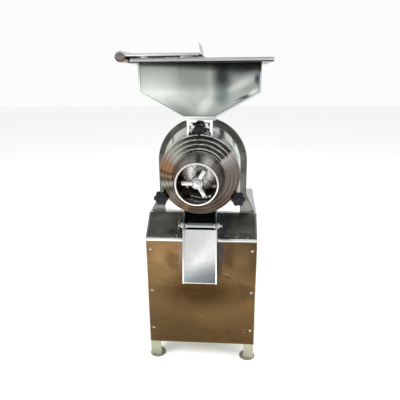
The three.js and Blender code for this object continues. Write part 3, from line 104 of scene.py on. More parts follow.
def rounded(corners, radius, steps=5):
    """A closed outline with its corners rounded: each corner P becomes the curve (1-s)^2 A + 2s(1-s) P +
    s^2 B from a point A short of it to a point B past it. A corner may carry its own radius as a third
    number."""
    corners = [tuple(c) for c in corners]
    plain = np.array([c[:2] for c in corners], float)
    s = np.linspace(0, 1, steps)[:, None]
    curves = []
    for i, corner in enumerate(corners):
        own = corner[2] if len(corner) > 2 else radius
        here, before, after = plain[i], plain[i - 1], plain[(i + 1) % len(plain)]
        to_before, to_after = before - here, after - here
        reach = min(own, 0.45 * np.linalg.norm(to_before), 0.45 * np.linalg.norm(to_after))
        if reach < 1e-7:
            curves.append(here[None])
            continue
        a = here + to_before / np.linalg.norm(to_before) * reach
        b = here + to_after / np.linalg.norm(to_after) * reach
        curves.append((1 - s) ** 2 * a + 2 * s * (1 - s) * here + s**2 * b)
    return np.vstack(curves)


def turned(profile, centre, steps=96, axis="y"):
    """A profile of (radius, place along the axis) turned a full circle: at angle t the point is the
    centre plus radius times (cos t, sin t) across the axis and the place along it. A profile from the
    axis to the axis closes at its poles; any other closes on itself."""
    profile = np.asarray(profile, float)
    t = np.linspace(0, TURN, steps, endpoint=False)[:, None]
    across = profile[None, :, 0]
    along = np.broadcast_to(profile[None, :, 1], (steps, len(profile)))
    u, v = across * np.cos(t), across * np.sin(t)
    order = {"x": (along, u, v), "y": (u, along, v), "z": (u, v, along)}[axis]
    points = np.stack(order, -1) + np.array(centre, float)
    poles = profile[0, 0] < 1e-9 and profile[-1, 0] < 1e-9
    return grid(points, wrap_u=True, wrap_v=not poles)


def outward(outline):
    """Unit normals of a closed flat outline, pointing to the right of its direction."""
    ahead = np.roll(outline, -1, 0) - np.roll(outline, 1, 0)
    ahead /= np.maximum(np.linalg.norm(ahead, axis=1), 1e-12)[:, None]
    return np.stack([ahead[:, 1], -ahead[:, 0]], 1)


def slab(outline, low, high, edge, axis="y", centre=(0, 0, 0), steps=4):
    """A flat outline (counter-clockwise) carried from low to high along an axis, its rim rounded with a
    quarter curve of radius edge at both ends, and both ends closed with one face."""
    outline = np.asarray(outline, float)
    normal = outward(outline)
    a = np.linspace(0, math.pi / 2, steps)
    inset = np.concatenate([edge * (1 - np.sin(a)), (edge * (1 - np.sin(a)))[::-1]])
    place = np.concatenate([low + edge * (1 - np.cos(a)), (high - edge * (1 - np.cos(a)))[::-1]])
    flat = outline[None] - normal[None] * inset[:, None, None]
    along = np.broadcast_to(place[:, None], flat.shape[:2])
    u, v = flat[..., 0], flat[..., 1]
    order = {"x": (along, u, v), "y": (u, along, v), "z": (u, v, along)}[axis]
    points = np.stack(order, -1) + np.array(centre, float)
    vertices, quads = grid(points, wrap_v=True)
    count = len(outline)
    caps = [list(range(count)), list(range(len(vertices) - count, len(vertices)))]
    return vertices, [*quads.tolist(), *caps]


def ring_plate(outline, hole_at, hole_r, low, high, edge, centre):
    """A plate across y with one round hole: each outline point is joined to the hole's point at the same
    angle, front and back, with the outer rim rounded."""
    outline = np.asarray(outline, float)
    normal = outward(outline)
    away = outline - hole_at
    hole = hole_at + away / np.linalg.norm(away, axis=1)[:, None] * hole_r
    inner = outline - normal * edge
    half = outline - normal * edge * 0.3
    sections = [(inner, low), (half, low + 0.3 * edge), (outline, low + edge), (outline, high - edge)]
    sections += [(half, high - 0.3 * edge), (inner, high), (hole, high), (hole, low)]
    points = np.stack([np.stack([f[:, 0], np.full(len(f), y), f[:, 1]], -1) for f, y in sections], 1)
    return grid(points + np.array(centre, float), wrap_u=True, wrap_v=True)


def thread(length, radius, pitch, centre, axis="y"):
    """A threaded rod: at angle t and place y the radius is the outer one less a triangle wave of y /
    pitch minus t / turn, a thread's depth high, narrowed at both ends by a chamfer."""
    depth = 0.54 * pitch
    chamfer = 1.2 * pitch
    around, rows = 20, max(8, int(6 * length / pitch))
    y = np.linspace(0, length, rows)[:, None]
    t = np.linspace(0, TURN, around, endpoint=False)[None]
    wave = np.abs(((y / pitch - t / TURN) % 1) * 2 - 1)
    r = radius - depth * wave
    ends = np.minimum(y, length - y)
    r = np.minimum(r, radius - depth + np.minimum(ends, chamfer) / chamfer * depth)
    u, v, along = r * np.cos(t), r * np.sin(t), np.broadcast_to(y, (rows, around))
    order = {"x": (along, u, v), "y": (u, along, v)}[axis]
    vertices, quads = grid(np.stack(order, -1) + np.array(centre, float), wrap_v=True)
    caps = [list(range(around)), list(range(len(vertices) - around, len(vertices)))]
    return vertices, [*quads.tolist(), *caps]


def hexagon_nut(across, low, high, bore, centre, axis="y", spin=0.0):
    """A nut: at angle t the radius is half the width across flats over the cosine of the angle from the
    nearest flat, cut by a cone near both faces; the bore closes it into a ring."""
    t = np.linspace(0, TURN, 72, endpoint=False)[:, None]
    flat = across / 2 / np.cos((t + spin) % (TURN / 6) - TURN / 12)
    chamfer = 0.12 * across
    tall = high - low
    place = np.array([0, 0.25, 1, 1.6, 1.6, 1, 0.25, 0]) * chamfer / 1.6
    place[4:] = tall - place[4:]
    cone = across / 2 * np.array([0.93, 0.97, 1.04, 1.2, 1.2, 1.04, 0.97, 0.93])
    outer = np.minimum(flat, cone[None])
    r = np.concatenate([outer, np.full((72, 2), bore)], 1)
    along = np.broadcast_to(np.concatenate([place, [tall, 0]]) + low, r.shape)
    u, v = r * np.cos(t), r * np.sin(t)
    order = {"x": (along, u, v), "y": (u, along, v)}[axis]
    return grid(np.stack(order, -1) + np.array(centre, float), wrap_u=True, wrap_v=True)


def spun(part, angle, centre):
    """A part turned about the y axis through a centre, by an angle that takes +x towards +z."""
    vertices, faces = part
    moved = vertices - np.array(centre, float)
    c, s = math.cos(angle), math.sin(angle)
    x = c * moved[:, 0] - s * moved[:, 2]
    z = s * moved[:, 0] + c * moved[:, 2]
    return np.stack([x, moved[:, 1], z], 1) + np.array(centre, float), faces


def piece(name, parts, finish, body, replaces=(), crease=35):
    """One object from several closed surfaces: joined, doubled points merged, faces turned outwards, shaded
    smooth up to the crease angle, and set to ride on a CAD body."""
    vertices, faces, start = [], [], 0
    for part_vertices, part_faces in parts:
        vertices.append(part_vertices)
        faces += [[i + start for i in face] for face in np.array(part_faces, dtype=object)]
        start += len(part_vertices)
    mesh = bpy.data.meshes.new(name)
    mesh.from_pydata(np.vstack(vertices).tolist(), [], faces)
    shape = bmesh.new()
    shape.from_mesh(mesh)
    bmesh.ops.remove_doubles(shape, verts=shape.verts, dist=1e-7)
    bmesh.ops.recalc_face_normals(shape, faces=shape.faces)
    shape.to_mesh(mesh)
    shape.free()
    mesh.polygons.foreach_set("use_smooth", [True] * len(mesh.polygons))
    mesh.set_sharp_from_angle(angle=math.radians(crease))
    mesh.materials.append(finish)
    made = bpy.data.objects.new(name, mesh)
    bpy.context.scene.collection.objects.link(made)
    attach(made, body)
    if replaces:
        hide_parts(*replaces)


# ---------- Finishes ----------


class Number:
    """A number socket of a finish; arithmetic on it adds Math nodes."""

    def __init__(self, finish, socket):
        self.finish, self.socket = finish, socket

    def __add__(self, other):
        return self.finish.math("ADD", self, other)

    def __radd__(self, other):
        return self.finish.math("ADD", other, self)

    def __sub__(self, other):
        return self.finish.math("SUBTRACT", self, other)

    def __rsub__(self, other):
        return self.finish.math("SUBTRACT", other, self)

    def __mul__(self, other):
        return self.finish.math("MULTIPLY", self, other)

    def __rmul__(self, other):
        return self.finish.math("MULTIPLY", other, self)

    def __truediv__(self, other):
        return self.finish.math("DIVIDE", self, other)

    def __neg__(self):
        return self.finish.math("MULTIPLY", self, -1.0)

    def __abs__(self):
        return self.finish.math("ABSOLUTE", self, 0.0)


class Finish:
    """One material's node tree, with short ways to the nodes it needs."""

    def __init__(self, name):
        self.material = bpy.data.materials.new(name)
        self.material.use_nodes = True
        self.tree = self.material.node_tree
        self.tree.nodes.clear()
        self.coords = self.node("TexCoord").outputs["Object"]
        split = self.node("SeparateXYZ", sockets={0: self.coords})
        self.x, self.y, self.z = (Number(self, output) for output in split.outputs)

    def node(self, kind, settings=None, sockets=None):
        """Adds a node: its type, its settings (a ramp's stops among them), then the values or links of its
        sockets."""
        made = self.tree.nodes.new("ShaderNode" + kind)
        for key, value in (settings or {}).items():
            if key == "stops":
                made.color_ramp.elements.remove(made.color_ramp.elements[1])
                for i, (place, colour) in enumerate(value):
                    stop = made.color_ramp.elements[0] if i == 0 else made.color_ramp.elements.new(place)
                    stop.position, stop.color = place, (*colour, 1)
            else:
                setattr(made, key, value)
        for key, value in (sockets or {}).items():
            self.feed(made.inputs[key], value)
        return made

    def feed(self, socket, value):
        """Sets a socket from a link, a colour or a number."""
        if isinstance(value, Number):
            value = value.socket
        if isinstance(value, bpy.types.NodeSocket):
            self.tree.links.new(value, socket)
        elif isinstance(value, tuple) and socket.type == "RGBA":
            socket.default_value = (*value, 1)
        else:
            socket.default_value = value

    def math(self, operation, first, second=0.0):
        return Number(self, self.node("Math", {"operation": operation}, {0: first, 1: second}).outputs[0])

    def root(self, value):
        return self.math("SQRT", value)

    def most(self, first, second):
        return self.math("MAXIMUM", first, second)

    def least(self, first, second):
        return self.math("MINIMUM", first, second)

    def ramp(self, value, low, high):
        """0 at low, 1 at high, smooth between; low may be the larger."""
        sockets = {"Value": value, "From Min": low, "From Max": high}
        return Number(self, self.node("MapRange", {"interpolation_type": "SMOOTHSTEP"}, sockets).outputs[0])

    def noise(self, scale, stretch=(1, 1, 1), detail=3.0, rough=0.5, distort=0.0, shift=(0, 0, 0)):
        """Clouds of about 1 / scale metres, stretched where stretch is small."""
        vector = self.node("Mapping", {}, {"Vector": self.coords, "Location": shift, "Scale": stretch})
        sockets = {"Vector": vector.outputs[0], "Scale": scale, "Detail": detail, "Roughness": rough}
        sockets["Distortion"] = distort
        return Number(self, self.node("TexNoise", {}, sockets).outputs[0])

    def wave(self, value, scale, detail=2.0):
        """Noise along one number only, such as a radius."""
        sockets = {"W": value, "Scale": scale, "Detail": detail}
        return Number(self, self.node("TexNoise", {"noise_dimensions": "1D"}, sockets).outputs[0])

    def cells(self, scale, settings=None):
        """How far the nearest of scattered points is; they lie about 1 / scale metres apart."""
        vector = self.node("Mapping", {}, {"Vector": self.coords})
        sockets = {"Vector": vector.outputs[0], "Scale": scale}
        return Number(self, self.node("TexVoronoi", settings, sockets).outputs[0])

    def tilt(self, axis):
        """How far the surface faces along an axis, from -1 to 1."""
        normal = self.node("TexCoord").outputs["Normal"]
        return Number(self, self.node("SeparateXYZ", sockets={0: normal}).outputs["XYZ".index(axis)])

    def mix(self, factor, first, second, blend="MIX"):
        settings = {"data_type": "RGBA", "blend_type": blend}
        return self.node("Mix", settings, {0: factor, 6: first, 7: second}).outputs[2]

    def shade(self, colour, factor):
        """A colour times a number."""
        return self.mix(1.0, colour, factor, "MULTIPLY")

    def bump(self, height, size, strength=1.0, normal=None):
        sockets = {"Height": height, "Distance": size, "Strength": strength}
        if normal is not None:
            sockets["Normal"] = normal
        return self.node("Bump", {}, sockets).outputs[0]

    def done(self, colour, rough, metal=1.0, normal=None, **more):
        """Closes the material with a Principled shader."""
        sockets = {"Base Color": colour, "Roughness": rough, "Metallic": metal}
        if normal is not None:
            sockets["Normal"] = normal
        sockets.update({key.replace("_", " "): value for key, value in more.items()})
        shader = self.node("BsdfPrincipled", {}, sockets)
        self.node("OutputMaterial", {}, {"Surface": shader.outputs[0]})
        return self.material


def tone(red, green, blue):
    """A colour as it looks on a screen, from 0 to 255, made linear."""
    return tuple((c / 255) ** 2.2 for c in (red, green, blue))


def grey(value, warm=0.0):
    """A grey that leans warm, or cool where warm is below 0."""
    return (value * (1 + warm), value, value * (1 - warm))


def sheet_steel(name, level, rough, grain=(1, 1, 0.02), dents=0.3, warm=0.0, painted_light=None):
    """Stainless sheet: cloudy brightness, a fine grain along one axis, fingerprints in the roughness,
    shallow dents in the surface. A function given last, of the finish and a colour, may lay painted
    reflections and painted shade over it."""
    f = Finish(name)
    cloud = f.noise(7, detail=2)
    fine = f.noise(900, grain, detail=2)
    prints = f.ramp(f.noise(38, detail=4, rough=0.6), 0.52, 0.7)
    scratch = f.ramp(f.noise(260, (1, 1, 0.015), detail=1, distort=0.6), 0.7, 0.76)
    colour = f.mix(f.ramp(cloud, 0.3, 0.7), grey(level * 0.86, warm), grey(min(1, level * 1.08), warm))
    colour = f.shade(colour, 0.95 + 0.1 * fine)
    # painted reflections and painted shade laid over the sheet's colour
    if painted_light:
        colour = painted_light(f, colour)
    roughness = rough + 0.07 * prints + 0.10 * (fine - 0.5) + 0.10 * scratch + 0.05 * cloud
    dent = f.noise(9, detail=1, shift=(3, 1, 2))
    normal = f.bump(dent, 1.2 * MM, dents)
    normal = f.bump(fine, 0.004 * MM, 1.0, normal)
    return f.done(colour, roughness, 1.0, normal)


def lit(f, colour, painted_spots):
    """Lays soft ellipses of painted reflection and painted shade over a colour. Each is given by its middle
    (x from the rotor's axis, z from the floor), half width, half height, slope of its long side, strength
    and colour; places are in millimetres."""
    for x, z, wide, tall, slope, strength, shade in painted_spots:
        across, up = (f.x - (AXIS.x + x * MM)), (f.z - z * MM)
        u, v = across / (wide * MM), (up - across * slope) / (tall * MM)
        place = f.ramp(f.root(u * u + v * v), 1.0, 0.15)
        colour = f.mix(place * strength, colour, tone(*shade))
    return colour


def hopper_painted_light(f, colour):
    """The upright front, with painted reflections: soft room lights and darks in satin steel, a painted
    shadow under the tray, a folded edge painted as a bright highlight line between two dark ones, and a
    painted highlight on the flange at its foot. The distance to the edge is the lesser of those to the side
    and to the slanting foot."""
    front = f.ramp(-f.tilt("Y"), 0.6, 0.95)
    body = tone(172, 178, 172)
    body = f.mix(f.ramp(f.noise(9, detail=3), 0.35, 0.65), body, tone(186, 191, 185))
    # painted reflections and painted shade: soft room lights and dark patches
    painted_spots = [
        (-128, 1035, 95, 70, 0, 0.75, (214, 220, 214)),
        (-30, 1045, 62, 80, 0, 0.5, (158, 164, 158)),
        (-60, 1068, 8, 40, 0.1, 0.4, (146, 150, 148)),
        (36, 1030, 18, 80, 0, 0.6, (206, 210, 204)),
        (18, 958, 36, 36, 0.5, 0.85, (226, 228, 220)),
        (73, 1050, 44, 70, 0, 1.0, (76, 82, 82)),
        (72, 990, 36, 46, 0, 0.85, (108, 124, 124)),
        (128, 1066, 60, 26, 0.2, 0.8, (112, 114, 112)),
        (134, 1026, 56, 22, 0.4, 0.95, (240, 243, 236)),
        (150, 988, 44, 8, 0.36, 0.9, (58, 66, 64)),
        (181, 1040, 13, 26, 0, 0.9, (62, 88, 102)),
        (172, 1000, 26, 14, 0.5, 0.9, (246, 250, 250)),
        (-60, 945, 60, 26, -0.5, 0.5, (128, 130, 122)),
    ]
    body = lit(f, body, painted_spots)
    # a pale painted reflection ring
    u, v = (f.x - (AXIS.x - 33 * MM)) / (13 * MM), (f.z - 950 * MM) / (12 * MM)
    ring = f.ramp(abs(f.root(u * u + v * v) - 1.0), 0.28, 0.0) * f.ramp(u + v, -1.2, 0.6)
    body = f.mix(ring * 0.5, body, tone(190, 192, 188))
    # painted shadow under the tray
    body = f.mix(f.ramp(f.z, HOPPER_HIGH.z - 16 * MM, HOPPER_HIGH.z - 1 * MM) * 0.8, body, tone(58, 60, 58))
    side = abs(f.x - AXIS.x)
    knee = HOPPER_LOW.z + HOPPER_SLANT
    run, rise = HOPPER_HALF - HOPPER_FOOT_HALF, HOPPER_SLANT
    long = math.hypot(run, rise)
    foot = (f.z - HOPPER_LOW.z) * (run / long) - (side - HOPPER_FOOT_HALF) * (rise / long)
    rim = f.least(HOPPER_HALF - side, foot + f.ramp(f.z, knee, knee + 30 * MM) * 0.1)
    # painted highlight along the folded edge, with a painted dark line inside it
    body = f.mix(f.ramp(abs(rim - 3.2 * MM), 2.4 * MM, 1.2 * MM), body, tone(240, 243, 242))
    body = f.mix(f.ramp(abs(rim - 6.6 * MM), 1.4 * MM, 0.4 * MM) * 0.8, body, tone(70, 74, 72))
    # painted highlight on the flange at the foot
    body = f.mix(f.ramp(f.z, HOPPER_LOW.z + 7.2 * MM, HOPPER_LOW.z + 6.4 * MM), body, tone(238, 240, 238))
    return f.mix(front, colour, body)


def arch_painted_light(f, colour):
    """Painted reflections: the flat face is painted with pale walls and a dark post in them; the rim and the
    shoulders are painted dark, with a thin painted highlight line where the rim is folded."""
    across, up = f.x - AXIS.x, f.z - ARCH_CENTRE_Z
    flat = ARCH_R - ARCH_RIM
    aside = across + 1 * MM
    reach = f.root(aside * aside + f.most(up, 0.0) * f.most(up, 0.0))
    rim = f.ramp(reach, flat - 5 * MM, flat - 3 * MM)
    # painted reflection of pale walls, cloudy
    cloud = f.ramp(f.noise(14, (1, 1, 0.3), detail=2, distort=0.4), 0.4, 0.65)
    body = f.mix(cloud, tone(244, 247, 243), tone(216, 222, 216))
    # painted reflections and painted shade on the flat face
    painted_spots = [
        (-118, 770, 34, 70, 0, 0.8, (150, 142, 130)),
        (-84, 866, 40, 30, 0.9, 0.9, (250, 252, 250)),
        (-104, 838, 7, 40, 1.1, 0.7, (96, 98, 94)),
        (-120, 640, 70, 70, 0, 0.85, (160, 156, 148)),
        (120, 640, 70, 70, 0, 0.9, (146, 144, 134)),
        (70, 868, 17, 60, -1.0, 0.95, (58, 60, 60)),
        (50, 885, 34, 16, 0, 0.9, (40, 41, 40)),
        (112, 838, 9, 46, -1.3, 0.9, (104, 116, 112)),
        (132, 800, 16, 76, -0.6, 0.8, (206, 216, 212)),
        (140, 700, 14, 60, 0, 0.7, (150, 152, 150)),
    ]
    body = lit(f, body, painted_spots)
    # painted dark reflection on the rim and the shoulders, lighter low down
    shoulder = f.ramp(f.z, DECK_HIGH.z + 78 * MM, DECK_HIGH.z + 50 * MM)
    shoulder = shoulder * f.ramp(abs(across), 146 * MM, 156 * MM)
    dark = f.mix(f.ramp(f.noise(20, detail=2), 0.35, 0.65), tone(84, 86, 80), tone(112, 112, 104))
    dark = f.mix(f.ramp(f.z, 700 * MM, 640 * MM) * 0.5, dark, tone(120, 124, 120))
    # painted highlight line where the rim is folded
    fold_highlight = f.ramp(abs(reach - flat + 5 * MM), 1.2 * MM, 0.3 * MM) * 0.35
    body = f.mix(f.most(rim, shoulder), body, dark)
    return f.mix(fold_highlight, body, tone(225, 228, 225))


def tray_painted_light(f, colour):
    """The tray's rolled rim, with painted shade underneath and a grey painted reflection line along its top;
    the lid is plain.
    """
    rim = f.ramp(f.z, TRAY_HIGH.z + 1 * MM, TRAY_HIGH.z)
    # painted shade under the rolled rim
    under = f.ramp(f.z, TRAY_LOW.z + 4.4 * MM, TRAY_LOW.z + 2.6 * MM)
    colour = f.mix(under * rim, colour, tone(26, 27, 26))
    # grey painted reflection line along the rim's top
    line = f.ramp(abs(f.z - (TRAY_HIGH.z - 2 * MM)), 1.4 * MM, 0.4 * MM)
    return f.mix(line * 0.6, colour, tone(120, 122, 118))


def grip_painted_light(f, colour):
    """The grip's tube, with painted reflections: grey along its very top, bright on its upper half,
    brown below, a painted dark line between."""
    up = f.tilt("Z")
    # painted brown reflection on the lower side
    below = f.mix(f.ramp(f.noise(40, detail=2), 0.4, 0.6), tone(92, 66, 54), tone(120, 92, 76))
    colour = f.mix(f.ramp(up, 0.05, -0.1), colour, below)
    # painted dark line between the upper and lower sides
    colour = f.mix(f.ramp(abs(up - 0.06), 0.12, 0.02) * 0.7, colour, tone(60, 50, 44))
    # painted grey reflection along the very top
    return f.mix(f.ramp(up, 0.75, 0.95) * 0.8, colour, tone(112, 110, 108))


def neck_painted_light(f, colour):
    """Bright round corners beside a painted dark middle, with two painted light patches."""
    side = abs(f.x - AXIS.x)
    level = f.ramp(f.z, NECK_HIGH.z - 10 * MM, NECK_HIGH.z - 15 * MM)
    # painted dark reflection in the front-facing middle, mottled
    dark = f.ramp(side, 37 * MM, 31 * MM) * level * f.ramp(abs(f.tilt("Y")), 0.6, 0.9)
    reflection_mottle = f.ramp(f.noise(55, detail=2, distort=0.8), 0.40, 0.52)
    colour = f.mix(dark * (0.3 + 0.7 * reflection_mottle), colour, tone(36, 38, 38))
    # painted light patches
    patches = [
        (27, 873, 9, 9, 0, 0.95, (232, 234, 232)),
        (-26, 884, 6, 14, 0, 0.8, (214, 216, 214)),
    ]
    return lit(f, colour, patches)


def front_painted_light(f, colour):
    """Painted reflections of the front sheet: warm brown, lighter above, darker below, with long soft
    streaks and fine scratches, the chute's soft painted reflection on both sides of it, and painted
    highlights along its edges."""
    up = f.ramp(f.z, PANEL_LOW.z, PANEL_HIGH.z)
    # painted warm reflection, lighter above, with streaks and darker mottle in it
    warm = f.mix(up, tone(80, 63, 42), tone(122, 98, 68))
    streak = f.noise(9, (0.45, 1, 2.2), detail=4, rough=0.62, distort=0.9)
    warm = f.mix(f.ramp(streak, 0.38, 0.62) * 0.4, warm, tone(94, 74, 48))
    reflection_mottle = f.noise(4.2, (1, 1, 1.5), detail=3, distort=1.2, shift=(2, 5, 1))
    warm = f.mix(f.ramp(reflection_mottle, 0.52, 0.66) * 0.6, warm, tone(78, 62, 44))
    # painted reflections and painted shade, the chute's among them
    painted_spots = [
        (72, 450, 18, 74, 0, 0.75, (66, 72, 84)),
        (-72, 440, 16, 84, 0, 0.5, (122, 104, 92)),
        (66, 380, 16, 60, 0, 0.7, (60, 52, 44)),
        (92, 352, 22, 4.5, -0.45, 0.9, (44, 32, 34)),
        (88, 360, 17, 2.2, -0.5, 0.6, (176, 140, 124)),
        (150, 440, 60, 70, 0, 0.7, (150, 122, 88)),
        (-130, 300, 70, 110, 0, 0.3, (118, 94, 64)),
        (-150, 130, 60, 60, 0, 0.5, (84, 70, 42)),
        (30, 180, 150, 70, 0.1, 0.4, (104, 83, 52)),
        (0, 290, 240, 100, 0.0, 0.9, (58, 43, 25)),
        (-150, 430, 44, 50, 0, 0.4, (140, 112, 80)),
    ]
    warm = lit(f, warm, painted_spots)
    line = f.noise(20, (0.2, 1, 3.4), detail=3, distort=1.6)
    scratch = f.ramp(abs(line - 0.5), 0.007, 0.0) * f.ramp(f.noise(12, detail=1, shift=(7, 1, 4)), 0.5, 0.6)
    warm = f.mix(scratch * 0.4, warm, tone(160, 132, 92))
    speck = f.ramp(f.cells(26), 0.055, 0.03) * f.ramp(f.noise(17, detail=1), 0.52, 0.58)
    warm = f.mix(speck * 0.8, warm, tone(226, 200, 160))
    # painted highlights along the sheet's sides, top and foot
    edge = f.ramp(abs(f.x - AXIS.x), 196.5 * MM, 198 * MM) * 0.6
    edge = f.most(edge, f.ramp(f.z, PANEL_HIGH.z - 3.0 * MM, PANEL_HIGH.z - 1.8 * MM))
    edge = f.most(edge, f.ramp(f.z, PANEL_LOW.z + 1.6 * MM, PANEL_LOW.z + 0.6 * MM) * 0.4)
    return f.mix(edge, warm, tone(238, 236, 230))


def deck_painted_light(f, colour):
    """The apron, painted as a dark reflection, with a painted highlight along its folded lower edge and
    painted paler reflection at its sides; the deck itself is plain."""
    # painted dark reflection on the apron, with streaks in it
    streak = f.noise(16, (0.4, 1, 2.0), detail=3, distort=0.5)
    dark = f.mix(f.ramp(streak, 0.35, 0.7), tone(78, 79, 73), tone(100, 100, 93))
    # painted reflections and painted shade on the apron
    painted_spots = [
        (-140, 530, 90, 50, 0, 0.4, (104, 103, 96)),
        (78, 530, 26, 44, 0, 0.6, (62, 68, 84)),
        (-84, 528, 2.8, 24, 0, 0.95, (214, 218, 214)),
        (-88, 502, 7, 2.4, -1.2, 0.8, (196, 200, 196)),
        (-70, 520, 6, 40, 0, 0.6, (44, 46, 44)),
    ]
    dark = lit(f, dark, painted_spots)
    near_fold = f.ramp(f.z, DECK_LOW.z + 30 * MM, DECK_LOW.z + 8 * MM)
    speck = f.ramp(f.noise(75, (1, 1, 2), detail=3), 0.56, 0.68) * near_fold
    dark = f.mix(speck * 0.7, dark, tone(170, 174, 172))
    # painted paler reflection at the sides
    side = f.ramp(abs(f.x - AXIS.x), 192 * MM, 197 * MM)
    dark = f.mix(side * 0.6, dark, tone(176, 180, 178))
    # painted highlight along the folded lower edge
    dark = f.mix(f.ramp(f.z, DECK_LOW.z + 7.6 * MM, DECK_LOW.z + 6.2 * MM), dark, tone(244, 246, 244))
    flat = f.ramp(f.tilt("Z"), 0.9, 0.97)
    return f.mix(flat, dark, grey(0.93))


def chute_painted_light(f, colour):
    """The channel, with painted reflections: white above and blue-grey towards its lower right corner, and
    painted highlights on its folded edges.
    """
    # painted reflection down the web: white above, blue-grey low on the right
    share = (f.z - CHUTE_LOW.z) / (190 * MM) - (f.x - AXIS.x) / (800 * MM) + 0.05 * f.noise(14, detail=2)
    stops = [
        (0.02, tone(104, 114, 118)),
        (0.14, tone(126, 134, 136)),
        (0.26, tone(168, 173, 172)),
        (0.42, tone(236, 238, 236)),
        (0.58, tone(255, 255, 255)),
        (1.0, tone(255, 255, 255)),
    ]
    web = colour_row(f, share, stops)
    side = abs(f.x - AXIS.x)
    # painted reflection on the side walls, darker low down
    wall = f.mix(f.ramp(f.z, CHUTE_LOW.z, CHUTE_HIGH.z), tone(70, 84, 98), tone(150, 164, 174))
    pale = f.mix(f.ramp(side, 54.2 * MM, 55.2 * MM), web, wall)
    # painted highlights on the folded side edges and the lower edge
    rim = f.ramp(side, 54.6 * MM, 55.4 * MM) * f.ramp(-f.tilt("Y"), 0.75, 0.9)
    rim = f.most(rim, f.ramp(f.z, CHUTE_LOW.z + 3.2 * MM, CHUTE_LOW.z + 1.6 * MM))
    return f.mix(rim, pale, tone(246, 248, 248))


def colour_row(f, value, stops):
    """A number turned into a colour by a row of stops."""
    return f.node("ValToRGB", {"stops": stops}, {0: value}).outputs[0]


def throat_painted_light(f, colour):
    """Grey sheet, with painted light towards the lip at its lower end."""
    low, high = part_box("discharge_throat")
    # painted light towards the lip
    lip = f.ramp(f.z, low.z + 14 * MM, low.z + 4 * MM)
    return f.mix(lip * 0.6, tone(110, 114, 116), tone(200, 204, 206))


# Painted reflections round the door's rings, from straight down, clockwise as seen from the front.
RING_STOPS = [
    (0.0, tone(66, 58, 50)),
    (0.045, tone(70, 60, 51)),
    (0.062, tone(124, 92, 60)),
    (0.085, tone(84, 70, 60)),
    (0.150, tone(112, 100, 90)),
    (0.190, tone(60, 56, 50)),
    (0.212, tone(150, 148, 138)),
    (0.235, tone(52, 50, 44)),
    (0.252, tone(140, 122, 96)),
    (0.268, tone(60, 48, 38)),
    (0.276, tone(146, 108, 76)),
    (0.318, tone(150, 116, 84)),
    (0.328, tone(150, 134, 122)),
    (0.368, tone(170, 170, 160)),
    (0.410, tone(128, 128, 120)),
    (0.450, tone(60, 60, 58)),
    (0.545, tone(50, 50, 48)),
    (0.600, tone(64, 64, 62)),
    (0.644, tone(58, 58, 56)),
    (0.652, tone(190, 188, 184)),
    (0.672, tone(160, 154, 150)),
    (0.705, tone(126, 116, 110)),
    (0.760, tone(104, 94, 88)),
    (0.830, tone(92, 82, 74)),
    (0.900, tone(72, 58, 50)),
    (0.955, tone(80, 72, 64)),
    (1.0, tone(66, 58, 50)),
]
# Painted reflections round the door's nose, in the same order.
NOSE_STOPS = [
    (0.0, tone(60, 50, 44)),
    (0.19, tone(76, 66, 58)),
    (0.26, tone(92, 78, 70)),
    (0.35, tone(136, 120, 110)),
    (0.43, tone(150, 148, 144)),
    (0.50, tone(172, 171, 168)),
    (0.545, tone(196, 194, 190)),
    (0.572, tone(240, 239, 236)),
    (0.592, tone(196, 193, 189)),
    (0.625, tone(112, 105, 100)),
    (0.70, tone(76, 66, 61)),
    (0.80, tone(66, 54, 48)),
    (0.90, tone(58, 48, 43)),
    (1.0, tone(60, 50, 44)),
]


def turned_painted_light(f, colour, radius):
    """Painted reflections of lathe-turned rings, by direction: the number runs once round from straight
    down, clockwise as seen from the front. The rings, the nose and the inside each have their own row of
    painted colours, each ring's crest is a painted highlight line, strongest above, and the mouth's lip a
    painted highlight."""
    across, up = f.x - AXIS.x, f.z - AXIS.z
    rag = 0.020 * (f.wave(radius, 300, 1.0) - 0.5)
    round_by = f.math("ARCTAN2", across, up) / TURN + 0.5 + rag
    rings, nose = colour_row(f, round_by, RING_STOPS), colour_row(f, round_by, NOSE_STOPS)
    fine = f.ramp(f.wave(radius, 420, 2.0), 0.3, 0.7)
    nose = f.shade(nose, 0.82 + 0.3 * fine)
    out = DOOR_HIGH.y - f.y
    colour = f.mix(f.ramp(out, 47.5 * MM, 49 * MM), rings, nose)
    # painted highlight lines on the ring crests, strongest above
    high = f.ramp(up / radius, 0.1, 0.85)
    above = 0.08 + 0.85 * high
    for crest in CRESTS:
        wide = (1.1 + 1.5 * high * f.ramp(f.noise(30, detail=2, distort=1.0), 0.35, 0.6)) * MM
        line = f.ramp(abs(radius - (crest - 1.1 * MM)) / wide, 1.0, 0.4) * f.ramp(out, 50 * MM, 48 * MM)
        colour = f.mix(line * above, colour, tone(236, 234, 230))
    # painted reflection inside the mouth, with bright arcs
    inward = f.ramp(-(f.tilt("X") * across + f.tilt("Z") * up) / radius, 0.25, 0.5)
    reflected_arcs = f.ramp(f.wave(f.y + 0.2 * radius, 130, 1.0), 0.55, 0.75) * f.ramp(up / radius, -0.1, 0.8)
    inside = f.mix(reflected_arcs * 0.9, tone(132, 124, 106), tone(238, 236, 230))
    colour = f.mix(inward, colour, inside)
    # painted highlight on the mouth's lip
    lip = f.ramp(out, 129 * MM, 131 * MM) * f.ramp(radius, MOUTH_R - 4.6 * MM, MOUTH_R - 3.6 * MM)
    return f.mix(lip, colour, tone(238, 236, 231))


